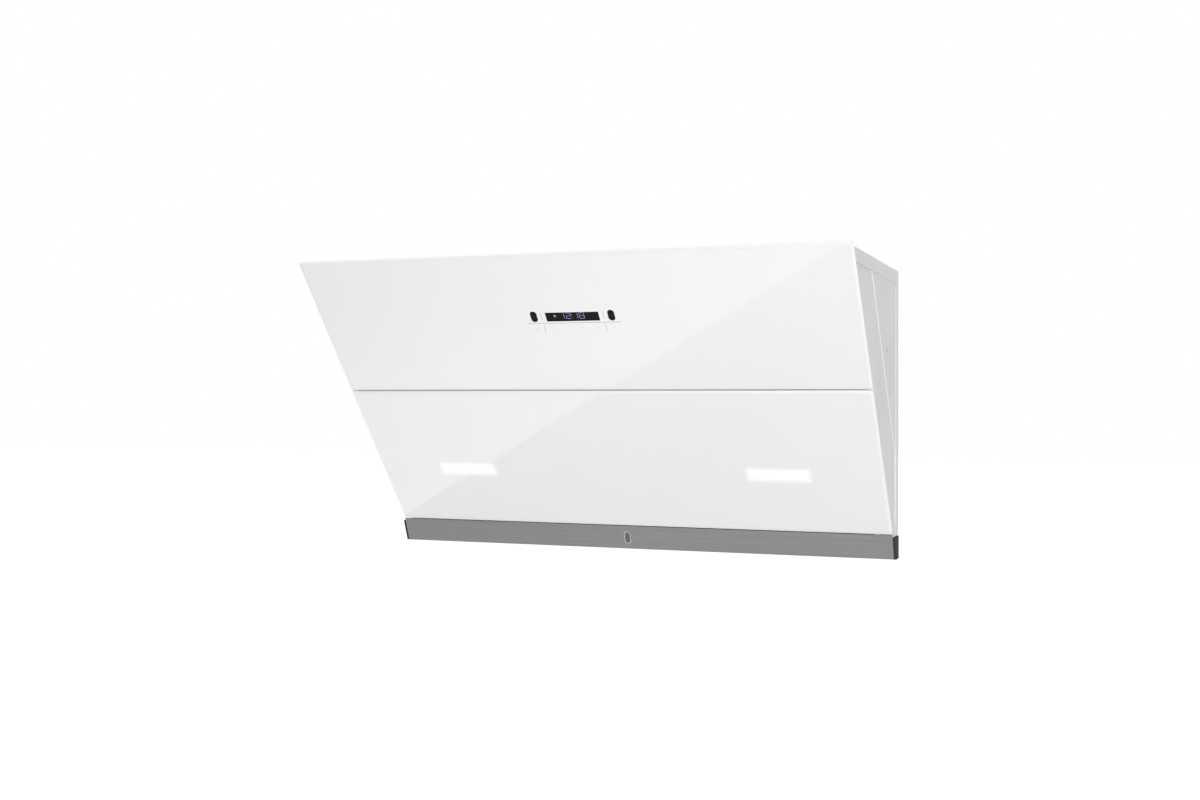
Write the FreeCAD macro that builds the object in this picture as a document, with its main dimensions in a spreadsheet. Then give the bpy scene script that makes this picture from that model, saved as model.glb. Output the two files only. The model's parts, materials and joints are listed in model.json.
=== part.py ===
import FreeCAD, Part
import math
import os
import types

import Sketcher

V = FreeCAD.Vector

# Driving sizes in millimetres and degrees. The wall is the plane y = 0, the front faces -Y, and the
# origin is the middle of the wall screws. Slope sizes run down the glass from its top edge, and
# depths run inwards from the front face of the glass.
SIZES = [
    ("hood_depth", 453.2, "wall to the top front edge of the glass"),
    ("top_rise", 130.0, "wall screw centre up to the top edge of the glass"),
    ("foot_setback", 100.244, "wall to the bottom edge of the glass"),
    ("body_width", 875.0, "outside of the side panels, without their pressed rims"),
    ("body_height", 438.0, "top edge of the glass down to the underside"),
    ("glass_foot_rise", 0.271, "bottom edge of the glass above the underside"),
    ("top_drop", 2.0, "top panel below the top edge of the glass"),
    ("sheet_gauge", 1.0, "casing sheet"),
    ("flange_width", 12.0, "folded edges of the side panels"),
    ("flange_end_gap", 12.0, "flange ends from the panel's corners"),
    ("panel_slack", 0.5, "side play of panels between the side panels"),
    ("front_overhang", 8.5, "glass and tray past the side panels"),
    ("glass_thickness", 5.0, "both glass panels"),
    ("bevel_width", 5.0, "polished edge of the glass across its face"),
    ("bevel_depth", 1.2, "polished edge of the glass into its face"),
    ("upper_glass_height", 261.0, "along the slope"),
    ("panel_gap", 3.0, "between the two glass panels"),
    ("insert_recess", 0.2, "windows and lenses behind the glass face"),
    ("insert_clearance", 0.1, "round windows and lenses"),
    ("display_width", 88.4, "display window"),
    ("display_height", 16.6, "display window"),
    ("display_drop", 116.5, "middle of the display window down the slope"),
    ("sensor_width", 11.0, "sensor windows"),
    ("sensor_height", 20.0, "sensor windows"),
    ("sensor_offset", 64.3, "sensor windows from the middle"),
    ("sensor_drop", 115.3, "middle of the sensor windows down the slope"),
    ("control_width", 176.0, "control housing"),
    ("control_height", 59.0, "control housing"),
    ("control_drop", 127.5, "middle of the control housing down the slope"),
    ("control_depth", 24.0, "control housing"),
    ("control_wall", 2.0, "control housing"),
    ("control_clearance", 0.3, "front plate round the control housing"),
    ("board_thickness", 1.6, "circuit boards"),
    ("board_margin", 1.0, "circuit boards inside their boxes"),
    ("control_post_height", 11.4, "posts under the control board"),
    ("control_post_radius", 3.0, "posts under the control board"),
    ("control_post_inset", 8.0, "posts from the walls of the control housing"),
    ("digits_margin", 2.0, "display block inside the display window"),
    ("digits_gap", 0.3, "display block behind the display window"),
    ("eye_radius", 4.0, "sensor eyes on the control board"),
    ("eye_gap", 1.0, "sensor eyes behind their windows"),
    ("plate_top", 10.0, "front plate from the top edge down the slope"),
    ("roof_margin", 9.0, "foot of the front plate above the upper glass's bottom edge"),
    ("roof_inset", 14.0, "roof over the intake from the outside of the side panels"),
    ("plate_tab_depth", 12.0, "end tabs of the front plate"),
    ("plate_tab_top", 24.0, "end tabs of the front plate down the slope"),
    ("plate_tab_gap", 10.0, "end tabs of the front plate above the hinge brackets"),
    ("lip_foot", 30.0, "turned-down lip of the top panel, down the slope"),
    ("intake_depth", 66.0, "intake panel behind the glass face"),
    ("intake_width", 500.0, "air opening"),
    ("intake_margin", 66.0, "air opening below the top edge of the lower glass"),
    ("intake_rise", 42.3, "air opening up from the bottom edge of the glass"),
    ("panel_raise", 1.7, "pressed triangle out of the side panels"),
    ("rim_raise", 1.3, "rim above and behind the triangle out of the triangle's face"),
    ("triangle_setback", 142.0, "sloping edge of the triangle behind the glass face"),
    ("triangle_fall", 22.5, "top edge of the triangle below the glass edge"),
    ("rim_width", 22.0, "rear part of the rim from the wall"),
    ("apron_drop", 15.0, "side panels behind the tray below the underside"),
    ("apron_gap", 3.0, "side panels behind the tray's rear face"),
    ("side_screw_back", 115.0, "screw in the triangle from the wall"),
    ("side_screw_drop", 139.0, "screw in the triangle below the glass edge"),
    ("wall_hole_radius", 4.2, "wall screw holes"),
    ("wall_hole_spacing_x", 640.0, "wall screw holes"),
    ("wall_hole_spacing_z", 160.0, "wall screw holes"),
    ("wall_plate_width", 60.0, "plates behind the wall screws"),
    ("wall_plate_height", 220.0, "plates behind the wall screws"),
    ("wall_plate_thickness", 2.0, "plates behind the wall screws"),
    ("drain_length", 120.0, "drain slots in the bottom panel"),
    ("drain_width", 10.0, "drain slots in the bottom panel"),
    ("drain_spacing", 280.0, "drain slots in the bottom panel"),
    ("drain_inset", 20.4, "drain slots behind the tray's front edge"),
    ("hinge_rise", 64.0, "hinge axis up from the top edge of the lower glass"),
    ("hinge_depth", 26.0, "hinge axis behind the glass face"),
    ("hinge_radius", 4.0, "hinge pin and drive shaft"),
    ("hinge_clearance", 0.05, "running fit of the hinge"),
    ("seat_clearance", 0.05, "bush and hub in the hinge arms"),
    ("hub_radius", 6.5, "bush and hub in the hinge arms"),
    ("hub_end_gap", 0.3, "bush and hub between the bracket cheeks"),
    ("pin_head_radius", 6.5, "left hinge pin"),
    ("pin_head_height", 2.0, "left hinge pin"),
    ("arm_thickness", 3.0, "hinge arms"),
    ("arm_boss", 9.0, "hinge arms round the axis"),
    ("arm_front", 48.0, "near edge of the arms' necks behind the glass face"),
    ("arm_back", 62.0, "far edge of the arms' necks behind the glass face"),
    ("arm_turn", 26.0, "start of the necks below the hinge axis"),
    ("arm_foot_margin", 10.0, "feet of the arms below the top edge of the lower glass"),
    ("arm_foot_length", 48.0, "feet of the arms along the slope"),
    ("arm_foot_depth", 8.0, "feet of the arms behind the glass face"),
    ("arm_corner", 12.0, "cut corners of the arms"),
    ("cheek_thickness", 3.0, "hinge brackets"),
    ("cheek_spacing", 9.0, "clear width inside the hinge brackets"),
    ("cheek_front", 12.0, "hinge brackets behind the glass face"),
    ("cheek_back", 69.0, "hinge brackets behind the glass face"),
    ("cheek_rise", 20.0, "hinge brackets above the hinge axis"),
    ("cheek_fall", 22.0, "hinge brackets below the hinge axis"),
    ("gearbox_radius", 25.0, "flap motor"),
    ("gearbox_length", 26.0, "flap motor"),
    ("gearbox_offset", 16.0, "flap motor's middle behind its shaft"),
    ("rotor_radius", 17.0, "flap motor"),
    ("rotor_length", 24.0, "flap motor"),
    ("shaft_grip", 18.0, "drive shaft inside the flap motor"),
    ("frame_inset", 10.0, "flap frame from the outside of the side panels"),
    ("frame_depth", 18.0, "flap frame"),
    ("frame_top_margin", 4.0, "flap frame below the lower glass's top edge"),
    ("frame_foot_margin", 6.3, "flap frame above the lower glass's bottom edge"),
    ("frame_wall", 1.0, "flap frame"),
    ("cover_thickness", 1.0, "flap inner cover"),
    ("lamp_width", 96.7, "lamp windows"),
    ("lamp_height", 19.0, "lamp windows"),
    ("lamp_corner", 4.0, "lamp windows"),
    ("lamp_offset", 277.0, "middle of the lamps from the middle"),
    ("lamp_rise", 124.8, "middle of the lamps up from the bottom edge of the glass"),
    ("lens_depth", 9.0, "rear of the lamp lenses behind the glass face"),
    ("lamp_case_margin", 1.0, "inside of the lamp housings round the lenses"),
    ("lamp_case_wall", 1.7, "lamp housings"),
    ("lamp_case_depth", 15.0, "lamp housings"),
    ("lamp_case_clearance", 1.0, "flap frame round the lamp housings"),
    ("lamp_flange", 6.0, "rims of the lamp housings"),
    ("lamp_flange_thickness", 1.5, "rims of the lamp housings"),
    ("bumper_radius", 7.0, "flap bumpers"),
    ("bumper_gap", 0.3, "flap bumpers from the closed flap"),
    ("bumper_inset", 49.0, "flap bumpers from the side panels"),
    ("bumper_rise", 27.3, "flap bumpers up from the bottom edge of the glass"),
    ("filter_border", 12.0, "filter frame round the air opening"),
    ("filter_depth", 12.0, "filter frame"),
    ("baffle_count", 12.0, "front row of filter baffles"),
    ("baffle_width", 27.0, "filter baffles"),
    ("baffle_height", 5.0, "filter baffles"),
    ("baffle_gauge", 0.8, "filter baffles"),
    ("baffle_margin", 0.5, "filter baffles from the faces of the frame"),
    ("latch_width", 36.0, "filter latch"),
    ("latch_thickness", 2.7, "filter latch"),
    ("latch_clearance", 0.3, "filter latch in its guides"),
    ("latch_length", 19.0, "filter latch"),
    ("latch_reach", 6.0, "filter latch past the filter frame"),
    ("latch_grip_width", 24.0, "grip of the filter latch"),
    ("latch_grip_height", 5.0, "grip of the filter latch"),
    ("latch_grip_length", 6.0, "grip of the filter latch"),
    ("guide_width", 4.0, "guides of the filter latch"),
    ("guide_lip", 3.0, "guides over the edges of the filter latch"),
    ("guide_lip_thickness", 1.5, "guides over the edges of the filter latch"),
    ("keeper_width", 44.0, "keeper of the filter latch"),
    ("keeper_post", 6.0, "keeper of the filter latch"),
    ("keeper_gap", 3.0, "keeper's post from the latch"),
    ("keeper_grip", 4.0, "keeper over the end of the latch"),
    ("keeper_lip_thickness", 3.5, "keeper over the end of the latch"),
    ("keeper_lip_gap", 0.5, "keeper over the end of the latch"),
    ("collar_setback", 86.0, "duct collar's axis from the wall"),
    ("collar_radius", 75.0, "duct collar outside"),
    ("collar_wall", 1.5, "duct collar"),
    ("collar_height", 26.0, "duct collar above the top panel"),
    ("collar_depth", 34.0, "duct collar below the top panel's face"),
    ("collar_flange_radius", 84.5, "duct collar's flange"),
    ("collar_hole_clearance", 0.5, "top panel round the duct collar"),
    ("damper_drop", 18.0, "damper axle below the top panel's face"),
    ("damper_axle_radius", 2.0, "damper axle"),
    ("damper_clearance", 0.08, "damper knuckles on the axle"),
    ("damper_knuckle_radius", 3.6, "damper knuckles"),
    ("damper_thickness", 1.2, "damper flaps"),
    ("damper_edge_gap", 1.0, "damper flaps inside the collar"),
    ("damper_middle_gap", 4.6, "damper flaps from the axle's axis"),
    ("damper_stop_gap", 0.3, "damper flaps above their ledge"),
    ("damper_stop_width", 3.0, "ledge under the damper flaps"),
    ("knuckle_length", 18.0, "damper knuckles"),
    ("knuckle_inner", 16.0, "middle of the front flap's knuckles"),
    ("knuckle_outer", 40.0, "middle of the rear flap's knuckles"),
    ("fan_drop", 165.0, "fan axis below the glass edge"),
    ("fan_offset", -85.0, "fan axis from the middle"),
    ("scroll_start_radius", 104.0, "first quarter of the scroll"),
    ("scroll_step", 14.0, "growth of the scroll per quarter"),
    ("tongue_offset", 31.0, "scroll tongue from the fan axis"),
    ("scroll_rise", 100.0, "scroll outlet above the fan axis"),
    ("volute_setback", 10.0, "volute from the wall"),
    ("volute_depth", 118.0, "volute"),
    ("inlet_radius", 72.0, "fan inlet"),
    ("bell_radius", 80.0, "mouth of the fan inlet"),
    ("bell_height", 9.0, "mouth of the fan inlet"),
    ("motor_flange_radius", 55.0, "fan motor"),
    ("motor_flange_thickness", 3.0, "fan motor"),
    ("motor_radius", 44.0, "fan motor"),
    ("motor_length", 47.0, "fan motor"),
    ("motor_nose_radius", 12.0, "fan motor"),
    ("motor_nose_length", 5.0, "fan motor"),
    ("motor_bore_depth", 24.0, "fan shaft inside the motor"),
    ("fan_shaft_radius", 4.0, "fan shaft"),
    ("fan_shaft_length", 44.0, "fan shaft"),
    ("fan_shaft_clearance", 0.05, "running fit of the fan shaft"),
    ("hub_fit", 0.02, "impeller on the fan shaft"),
    ("hub_length", 14.0, "impeller hub"),
    ("hub_outer_radius", 10.0, "impeller hub"),
    ("hub_gap", 5.0, "impeller hub from the motor"),
    ("impeller_radius", 90.0, "impeller"),
    ("blade_depth", 14.0, "impeller blades from root to tip"),
    ("blade_count", 36.0, "impeller blades"),
    ("blade_sweep", 6.0, "impeller blades, lean from root to tip"),
    ("blade_angle_width", 0.8, "impeller blades, as an angle"),
    ("impeller_rear", 15.0, "impeller from the volute's rear plate"),
    ("impeller_width", 94.0, "impeller"),
    ("impeller_sheet", 1.5, "impeller disc and rings"),
    ("power_box_width", 160.0, "power box"),
    ("power_box_height", 90.0, "power box"),
    ("power_box_depth", 40.0, "power box"),
    ("power_box_left", 100.0, "power box from the middle"),
    ("power_box_drop", 70.0, "power box below the glass edge"),
    ("power_box_wall", 2.0, "power box and its lid"),
    ("power_post_height", 7.4, "posts under the power board"),
    ("power_post_inset", 8.0, "posts from the walls of the power box"),
    ("relay_height", 15.0, "block on the power board"),
    ("relay_width", 60.0, "block on the power board"),
    ("relay_length", 28.0, "block on the power board"),
    ("capacitor_radius", 16.0, "run capacitor"),
    ("capacitor_length", 70.0, "run capacitor"),
    ("capacitor_left", 120.0, "run capacitor from the middle"),
    ("capacitor_drop", 195.0, "run capacitor below the glass edge"),
    ("capacitor_back", 20.0, "run capacitor's axis from the wall"),
    ("capacitor_foot", 40.0, "foot of the run capacitor"),
    ("capacitor_foot_height", 20.0, "foot of the run capacitor"),
    ("gland_offset", 250.0, "cord gland from the middle"),
    ("gland_setback", 70.0, "cord gland from the wall"),
    ("gland_bore", 4.2, "cord gland's bore radius"),
    ("gland_stem", 8.0, "cord gland's stem radius"),
    ("gland_radius", 11.0, "cord gland's body radius"),
    ("gland_height", 16.0, "cord gland above the top panel"),
    ("gland_nut_height", 7.0, "cord gland below the top panel"),
    ("gland_clearance", 0.1, "top panel round the cord gland"),
    ("cable_radius", 3.0, "inner cables"),
    ("cable_spread", 20.0, "inner cables above and below the middle of the power box"),
    ("cable_lead", 100.0, "reach of the cables' bends"),
    ("strip_gap", 0.4, "tray's front edge below the underside"),
    ("strip_inset", 1.844, "tray's front edge behind the bottom edge of the glass"),
    ("strip_height", 41.0, "tray"),
    ("strip_lean", 15.8, "tray's front face, back over its height"),
    ("tray_depth", 41.7, "tray from its front edge to its rear face"),
    ("tray_gauge", 1.2, "tray"),
    ("tray_rear_step", 8.7, "ends of the tray's rear wall below its front edge"),
    ("tray_rear_gap", 2.0, "middle of the tray's rear wall below the bottom panel"),
    ("tray_notch_gap", 6.0, "middle of the tray's rear wall from its runners"),
    ("hem_depth", 6.5, "folded top edge of the tray's front face"),
    ("cap_thickness", 4.0, "tray's end caps"),
    ("cap_drop", 4.0, "tray's end caps below its front edge"),
    ("rail_height", 8.0, "tray rails"),
    ("rail_width", 13.5, "tray rails"),
    ("rail_gauge", 1.0, "tray rails"),
    ("rail_inset", 1.5, "tray rails from the side panels"),
    ("rail_rear", 8.0, "tray rails from the wall"),
    ("rail_setback", 8.4, "front ends of the rails behind the tray's front edge"),
    ("runner_gap", 0.3, "tray runners above their rails"),
    ("runner_side_gap", 2.0, "tray runners inside their rails"),
    ("runner_inset", 19.5, "inner edges of the tray runners from the outside of the rails"),
    ("runner_rear", 12.0, "tray runners from the wall"),
    ("runner_riser", 5.0, "tray runners' risers"),
    ("sight_offset", -12.0, "sight window from the middle"),
    ("sight_drop", 22.0, "sight window down the strip"),
    ("sight_width", 9.0, "sight window"),
    ("sight_height", 20.4, "sight window"),
    ("sight_depth", 3.0, "sight window"),
    ("bezel_width", 1.5, "rim of the sight window"),
    ("bezel_height", 0.8, "rim of the sight window"),
    ("screw_radius", 1.6, "small screws"),
    ("screw_clearance", 0.1, "holes for the small screws"),
    ("screw_head_radius", 3.2, "small screws"),
    ("screw_head_height", 1.8, "small screws"),
    ("screw_length", 7.0, "small screws"),
    ("top_screw_front", 380.0, "top panel screws from the wall"),
    ("top_screw_rear", 60.0, "top panel screws from the wall"),
    ("collar_screw_radius", 80.4, "collar screws from the collar's axis"),
    ("collar_screw_turn", 45.0, "collar screws round the collar's axis"),
]


class Size:
    """A size that keeps its number and the formula that the document recomputes it from."""

    def __init__(self, value, text):
        self.value = float(value)
        self.text = text

    def __add__(self, other):
        other = as_size(other)
        return Size(self.value + other.value, f"({self.text} + {other.text})")

    def __sub__(self, other):
        other = as_size(other)
        return Size(self.value - other.value, f"({self.text} - {other.text})")

    def __mul__(self, other):
        other = as_size(other)
        return Size(self.value * other.value, f"({self.text} * {other.text})")

    def __truediv__(self, other):
        other = as_size(other)
        return Size(self.value / other.value, f"({self.text} / {other.text})")

    def __neg__(self):
        return Size(-self.value, f"(0 - {self.text})")

    def __radd__(self, other):
        return as_size(other) + self

    def __rsub__(self, other):
        return as_size(other) - self

    def __rmul__(self, other):
        return as_size(other) * self


def as_size(number):
    """Gives a plain number the same form as a sheet size."""
    if isinstance(number, Size):
        return number
    return Size(number, f"({float(number)})")


def sine(angle):
    return Size(math.sin(math.radians(angle.value)), f"sin({angle.text})")


def cosine(angle):
    return Size(math.cos(math.radians(angle.value)), f"cos({angle.text})")


def root(square):
    return Size(math.sqrt(square.value), f"sqrt({square.text})")


def slope_angle(run, rise):
    """The angle from the vertical of a face that goes back by the run over the rise."""
    turn = math.degrees(math.atan2(run.value, rise.value))
    return Size(turn, f"atan2({run.text}; {rise.text})")


doc = FreeCAD.newDocument("angled_range_hood")
sheet = doc.addObject("Spreadsheet::Sheet", "dims")
d = types.SimpleNamespace()
for row, (name, number, note) in enumerate(SIZES, 1):
    sheet.set(f"A{row}", name)
    sheet.set(f"B{row}", str(number))
    sheet.set(f"C{row}", note)
    sheet.setAlias(f"B{row}", name)
    setattr(d, name, Size(number, f"dims.{name}"))
doc.recompute()


def bind(feature, path, size):
    """Ties a property of a document object to its formula."""
    feature.setExpression(path, as_size(size).text)


class Frame:
    """A place where sub-parts are set, upright or tilted with the glass."""

    def __init__(self, x, y, z, tilt=None):
        self.x = as_size(x)
        self.y = as_size(y)
        self.z = as_size(z)
        self.tilt = tilt

    def point(self, x, y, z):
        """The document position of a point of this frame."""
        if self.tilt is None:
            return self.x + x, self.y + y, self.z + z
        across = as_size(y)
        along = as_size(z)
        return (
            self.x + x,
            self.y + across * cosine(self.tilt) - along * sine(self.tilt),
            self.z + across * sine(self.tilt) + along * cosine(self.tilt),
        )

    def place(self, feature, x=0, y=0, z=0):
        """Sets a sub-part into this frame."""
        if self.tilt is not None:
            turn = FreeCAD.Rotation(V(1, 0, 0), self.tilt.value)
            feature.Placement = FreeCAD.Placement(V(0, 0, 0), turn)
            bind(feature, "Placement.Rotation.Angle", self.tilt)
        for axis, size in zip("xyz", self.point(x, y, z)):
            bind(feature, f"Placement.Base.{axis}", size)


TURNS = {
    "x": FreeCAD.Rotation(V(0, 1, 0), 90),
    "y": FreeCAD.Rotation(V(1, 0, 0), -90),
    "z": FreeCAD.Rotation(),
}


def box(x, y, z):
    """A block between two values on each axis."""
    solid = doc.addObject("Part::Box", "Block")
    for prop, axis, span in zip(("Length", "Width", "Height"), "xyz", (x, y, z)):
        low, high = as_size(span[0]), as_size(span[1])
        bind(solid, prop, high - low)
        bind(solid, f"Placement.Base.{axis}", low)
    return solid


def rod(axis, centre, span, radius):
    """A cylinder along an axis, with the other two coordinates of its middle in XYZ order."""
    solid = doc.addObject("Part::Cylinder", "Rod")
    solid.Placement = FreeCAD.Placement(V(0, 0, 0), TURNS[axis])
    low, high = as_size(span[0]), as_size(span[1])
    bind(solid, "Radius", radius)
    bind(solid, "Height", high - low)
    others = list(centre)
    base = [low if name == axis else others.pop(0) for name in "xyz"]
    for name, size in zip("xyz", base):
        bind(solid, f"Placement.Base.{name}", size)
    return solid


def fused(*solids):
    joined = doc.addObject("Part::MultiFuse", "Joined")
    joined.Shapes = list(solids)
    joined.Refine = True
    return joined


def group(*solids):
    """Separate solids that share one sub-part."""
    several = doc.addObject("Part::Compound", "Group")
    several.Links = list(solids)
    return several


def less(solid, *tools):
    trimmed = doc.addObject("Part::Cut", "Trimmed")
    trimmed.Base = solid
    trimmed.Tool = tools[0] if len(tools) == 1 else fused(*tools)
    trimmed.Refine = True
    return trimmed


def shared(first, second):
    common = doc.addObject("Part::Common", "Shared")
    common.Base = first
    common.Tool = second
    return common


def outline(body, role, points, offset):
    """A closed sketch on an origin plane of a body, each corner tied to its formulas."""
    plane = next(feature for feature in body.Origin.OriginFeatures if feature.Role == role)
    sketch = body.newObject("Sketcher::SketchObject", "Outline")
    sketch.AttachmentSupport = [(plane, "")]
    sketch.MapMode = "FlatFace"
    bind(sketch, "AttachmentOffset.Base.z", offset)
    corners = [(as_size(first), as_size(second)) for first, second in points]
    count = len(corners)
    for index in range(count):
        start, end = corners[index], corners[(index + 1) % count]
        line = Part.LineSegment(V(start[0].value, start[1].value, 0), V(end[0].value, end[1].value, 0))
        sketch.addGeometry(line)
    for index in range(count):
        sketch.addConstraint(Sketcher.Constraint("Coincident", index, 2, (index + 1) % count, 1))
    for index, corner in enumerate(corners):
        for kind, size in zip(("DistanceX", "DistanceY"), corner):
            place = sketch.addConstraint(Sketcher.Constraint(kind, -1, 1, index, 1, size.value))
            sketch.renameConstraint(place, f"{kind}{index}")
            bind(sketch, f"Constraints.{kind}{index}", size)
    return sketch


def padded(body, sketch, length):
    pad = body.newObject("PartDesign::Pad", "Pad")
    pad.Profile = sketch
    bind(pad, "Length", length)
    return pad


def prism(points, span):
    """A body with a (y, z) outline drawn out along X."""
    body = doc.addObject("PartDesign::Body", "Prism")
    low, high = as_size(span[0]), as_size(span[1])
    padded(body, outline(body, "YZ_Plane", points, low), high - low)
    return body


def turned(points):
    """A body with an (r, z) outline turned round the Z axis."""
    body = doc.addObject("PartDesign::Body", "Turned")
    sketch = outline(body, "XZ_Plane", points, 0)
    revolution = body.newObject("PartDesign::Revolution", "Revolution")
    revolution.Profile = sketch
    revolution.ReferenceAxis = (sketch, ["V_Axis"])
    revolution.Angle = 360
    return body


def pill(x, z, width, height, y):
    """An upright slot-shaped block through a sheet."""
    radius = width / 2
    reach = height / 2 - radius
    return fused(
        box((x - radius, x + radius), y, (z - reach, z + reach)),
        rod("y", (x, z - reach), y, radius),
        rod("y", (x, z + reach), y, radius),
    )


def rounded_block(x, z, width, height, corner, y):
    """A block with round corners through a sheet."""
    half = width / 2
    rise = height / 2
    corners = [
        rod("y", (x + sign * (half - corner), z + side * (rise - corner)), y, corner)
        for sign in (-1, 1)
        for side in (-1, 1)
    ]
    return fused(
        box((x - half, x + half), y, (z - rise + corner, z + rise - corner)),
        box((x - half + corner, x + half - corner), y, (z - rise, z + rise)),
        *corners,
    )


def bevelled_glass(top, height):
    """A glass panel in the tilted frame, its polished edges sloping back from the face."""
    foot = top - height
    face = doc.addObject("Part::Wedge", "Bevel")
    bounds = {
        "Xmin": d.bevel_width - glass_half,
        "Xmax": glass_half - d.bevel_width,
        "X2min": -glass_half,
        "X2max": glass_half,
        "Ymin": 0,
        "Ymax": d.bevel_depth,
        "Zmin": foot + d.bevel_width,
        "Zmax": top - d.bevel_width,
        "Z2min": foot,
        "Z2max": top,
    }
    face.Xmin, face.Ymin, face.Zmin, face.X2min, face.Z2min = 0, 0, 0, 0, 0
    face.Xmax, face.Ymax, face.Zmax, face.X2max, face.Z2max = 1, 1, 1, 1, 1
    for prop, size in bounds.items():
        setattr(face, prop, as_size(size).value)
        bind(face, prop, size)
    return fused(face, box((-glass_half, glass_half), (d.bevel_depth, d.glass_thickness), (foot, top)))


def screw(axis, centre, seat, way):
    """A small screw with its head on a seat; the shank runs the given way along the axis."""
    head_end = seat - way * d.screw_head_height
    tip = seat + way * d.screw_length
    head = (head_end, seat) if way > 0 else (seat, head_end)
    shank = (seat, tip) if way > 0 else (tip, seat)
    return fused(
        rod(axis, centre, head, d.screw_head_radius),
        rod(axis, centre, shank, d.screw_radius),
    )


NODES = []


def finish(feature, label, frame=None):
    """Names a finished sub-part and sets its place."""
    feature.Label = label
    if frame is not None:
        frame.place(feature)
    NODES.append(feature)


# Shared places
body_half = d.body_width / 2
inner_half = body_half - d.sheet_gauge
field_face = body_half + d.panel_raise
rim_face = field_face + d.rim_raise
roof_half = body_half - d.roof_inset
frame_half = body_half - d.frame_inset
top_face = d.top_rise - d.top_drop
top_under = top_face - d.sheet_gauge
foot_face = d.top_rise - d.body_height
edge_depth = d.glass_thickness + d.sheet_gauge
glass_half = body_half + d.front_overhang
roof_drop = d.upper_glass_height - d.roof_margin
lower_top = d.upper_glass_height + d.panel_gap
intake_top = lower_top + d.intake_margin
hinge_drop = lower_top - d.hinge_rise
cheek_top = hinge_drop - d.cheek_rise
cheek_foot = hinge_drop + d.cheek_fall
glass_run = d.hood_depth - d.foot_setback
glass_drop = d.body_height - d.glass_foot_rise
front_tilt = slope_angle(glass_run, glass_drop)
lower_foot = root(glass_run * glass_run + glass_drop * glass_drop)
intake_foot = lower_foot - d.intake_rise
lamp_drop = lower_foot - d.lamp_rise
strip_back = d.foot_setback - d.strip_inset
tray_rear = strip_back - d.tray_depth
rail_front = strip_back - d.rail_setback
rail_outer = inner_half - d.rail_inset
runner_inner = rail_outer - d.runner_inset
room_half = inner_half - d.panel_slack

WALL = Frame(0, 0, 0)
FRONT = Frame(0, -d.hood_depth, d.top_rise, front_tilt)
COLLAR = Frame(0, -d.collar_setback, top_face)
DAMPER = Frame(0, -d.collar_setback, top_face - d.damper_drop)
FAN = Frame(d.fan_offset, -d.volute_setback, d.top_rise - d.fan_drop)


def sloping_y(depth, z):
    """Wall distance of a plane parallel to the glass, at a height."""
    return (depth + (d.top_rise - z) * sine(front_tilt)) / cosine(front_tilt) - d.hood_depth


def sloping_z(depth, y):
    """Height of a plane parallel to the glass, at a distance from the wall."""
    return d.top_rise + (depth - (y + d.hood_depth) * cosine(front_tilt)) / sine(front_tilt)


# Back panel and the plates behind its screw holes
hole_half_x = d.wall_hole_spacing_x / 2
hole_half_z = d.wall_hole_spacing_z / 2


def wall_holes(sides, depth):
    return [
        rod("y", (side * hole_half_x, level * hole_half_z), (-depth, 0), d.wall_hole_radius)
        for side in sides
        for level in (-1, 1)
    ]


back_sheet = box((-rim_face, rim_face), (-d.sheet_gauge, 0), (foot_face, top_face))
finish(less(back_sheet, *wall_holes((-1, 1), d.sheet_gauge)), "back_panel", WALL)

wall_plate_back = d.sheet_gauge + d.wall_plate_thickness
for side, label in ((-1, "left_wall_plate"), (1, "right_wall_plate")):
    middle = side * hole_half_x
    plate = box(
        (middle - d.wall_plate_width / 2, middle + d.wall_plate_width / 2),
        (-wall_plate_back, -d.sheet_gauge),
        (-d.wall_plate_height / 2, d.wall_plate_height / 2),
    )
    finish(less(plate, *wall_holes((side,), wall_plate_back)), label, WALL)

# Top panel with its turned-down lip, the collar hole and the gland hole
screw_hole = d.screw_radius + d.screw_clearance
top_screw_x = inner_half - d.flange_width / 2
top_screw_places = [
    (side * top_screw_x, -back) for side in (-1, 1) for back in (d.top_screw_front, d.top_screw_rear)
]
lip_inner = edge_depth + d.sheet_gauge
lip_half = room_half - d.sheet_gauge
lip_points = [
    FRONT.point(0, edge_depth, -d.lip_foot)[1:],
    FRONT.point(0, lip_inner, -d.lip_foot)[1:],
    (sloping_y(lip_inner, top_face), top_face),
    (sloping_y(edge_depth, top_face), top_face),
]
collar_screw_x = d.collar_screw_radius * cosine(d.collar_screw_turn)
collar_screw_y = d.collar_screw_radius * sine(d.collar_screw_turn)
collar_screw_places = [
    (side * collar_screw_x, level * collar_screw_y - d.collar_setback)
    for side in (-1, 1)
    for level in (-1, 1)
]
top_span = (top_under, top_face)
top_cuts = [
    rod("z", (as_size(0), -d.collar_setback), top_span, d.collar_radius + d.collar_hole_clearance),
    rod("z", (d.gland_offset, -d.gland_setback), top_span, d.gland_stem + d.gland_clearance),
]
top_cuts += [rod("z", place, top_span, screw_hole) for place in top_screw_places]
top_cuts += [rod("z", place, top_span, screw_hole) for place in collar_screw_places]
top_sheet = fused(
    prism(
        [
            (sloping_y(edge_depth, top_face), top_face),
            (sloping_y(edge_depth, top_under), top_under),
            (-d.sheet_gauge, top_under),
            (-d.sheet_gauge, top_face),
        ],
        (-rim_face, rim_face),
    ),
    prism(lip_points, (-lip_half, lip_half)),
)
finish(less(top_sheet, *top_cuts), "top_panel", WALL)

# Side panels with folded flanges, a raised triangle, and a rim over and behind it raised further
triangle_top = d.top_rise - d.triangle_fall
apron_foot = foot_face - d.apron_drop
apron_front = d.apron_gap - tray_rear


def raised_field(inset):
    """The triangle's outline, or the hollow's behind it, drawn in by an inset and open to the rim's."""
    top = triangle_top + 2 * inset
    rear = -d.sheet_gauge - inset
    setback = d.triangle_setback + inset
    return [(sloping_y(setback, top), top), (rear, top), (rear, sloping_z(setback, rear))]


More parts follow.
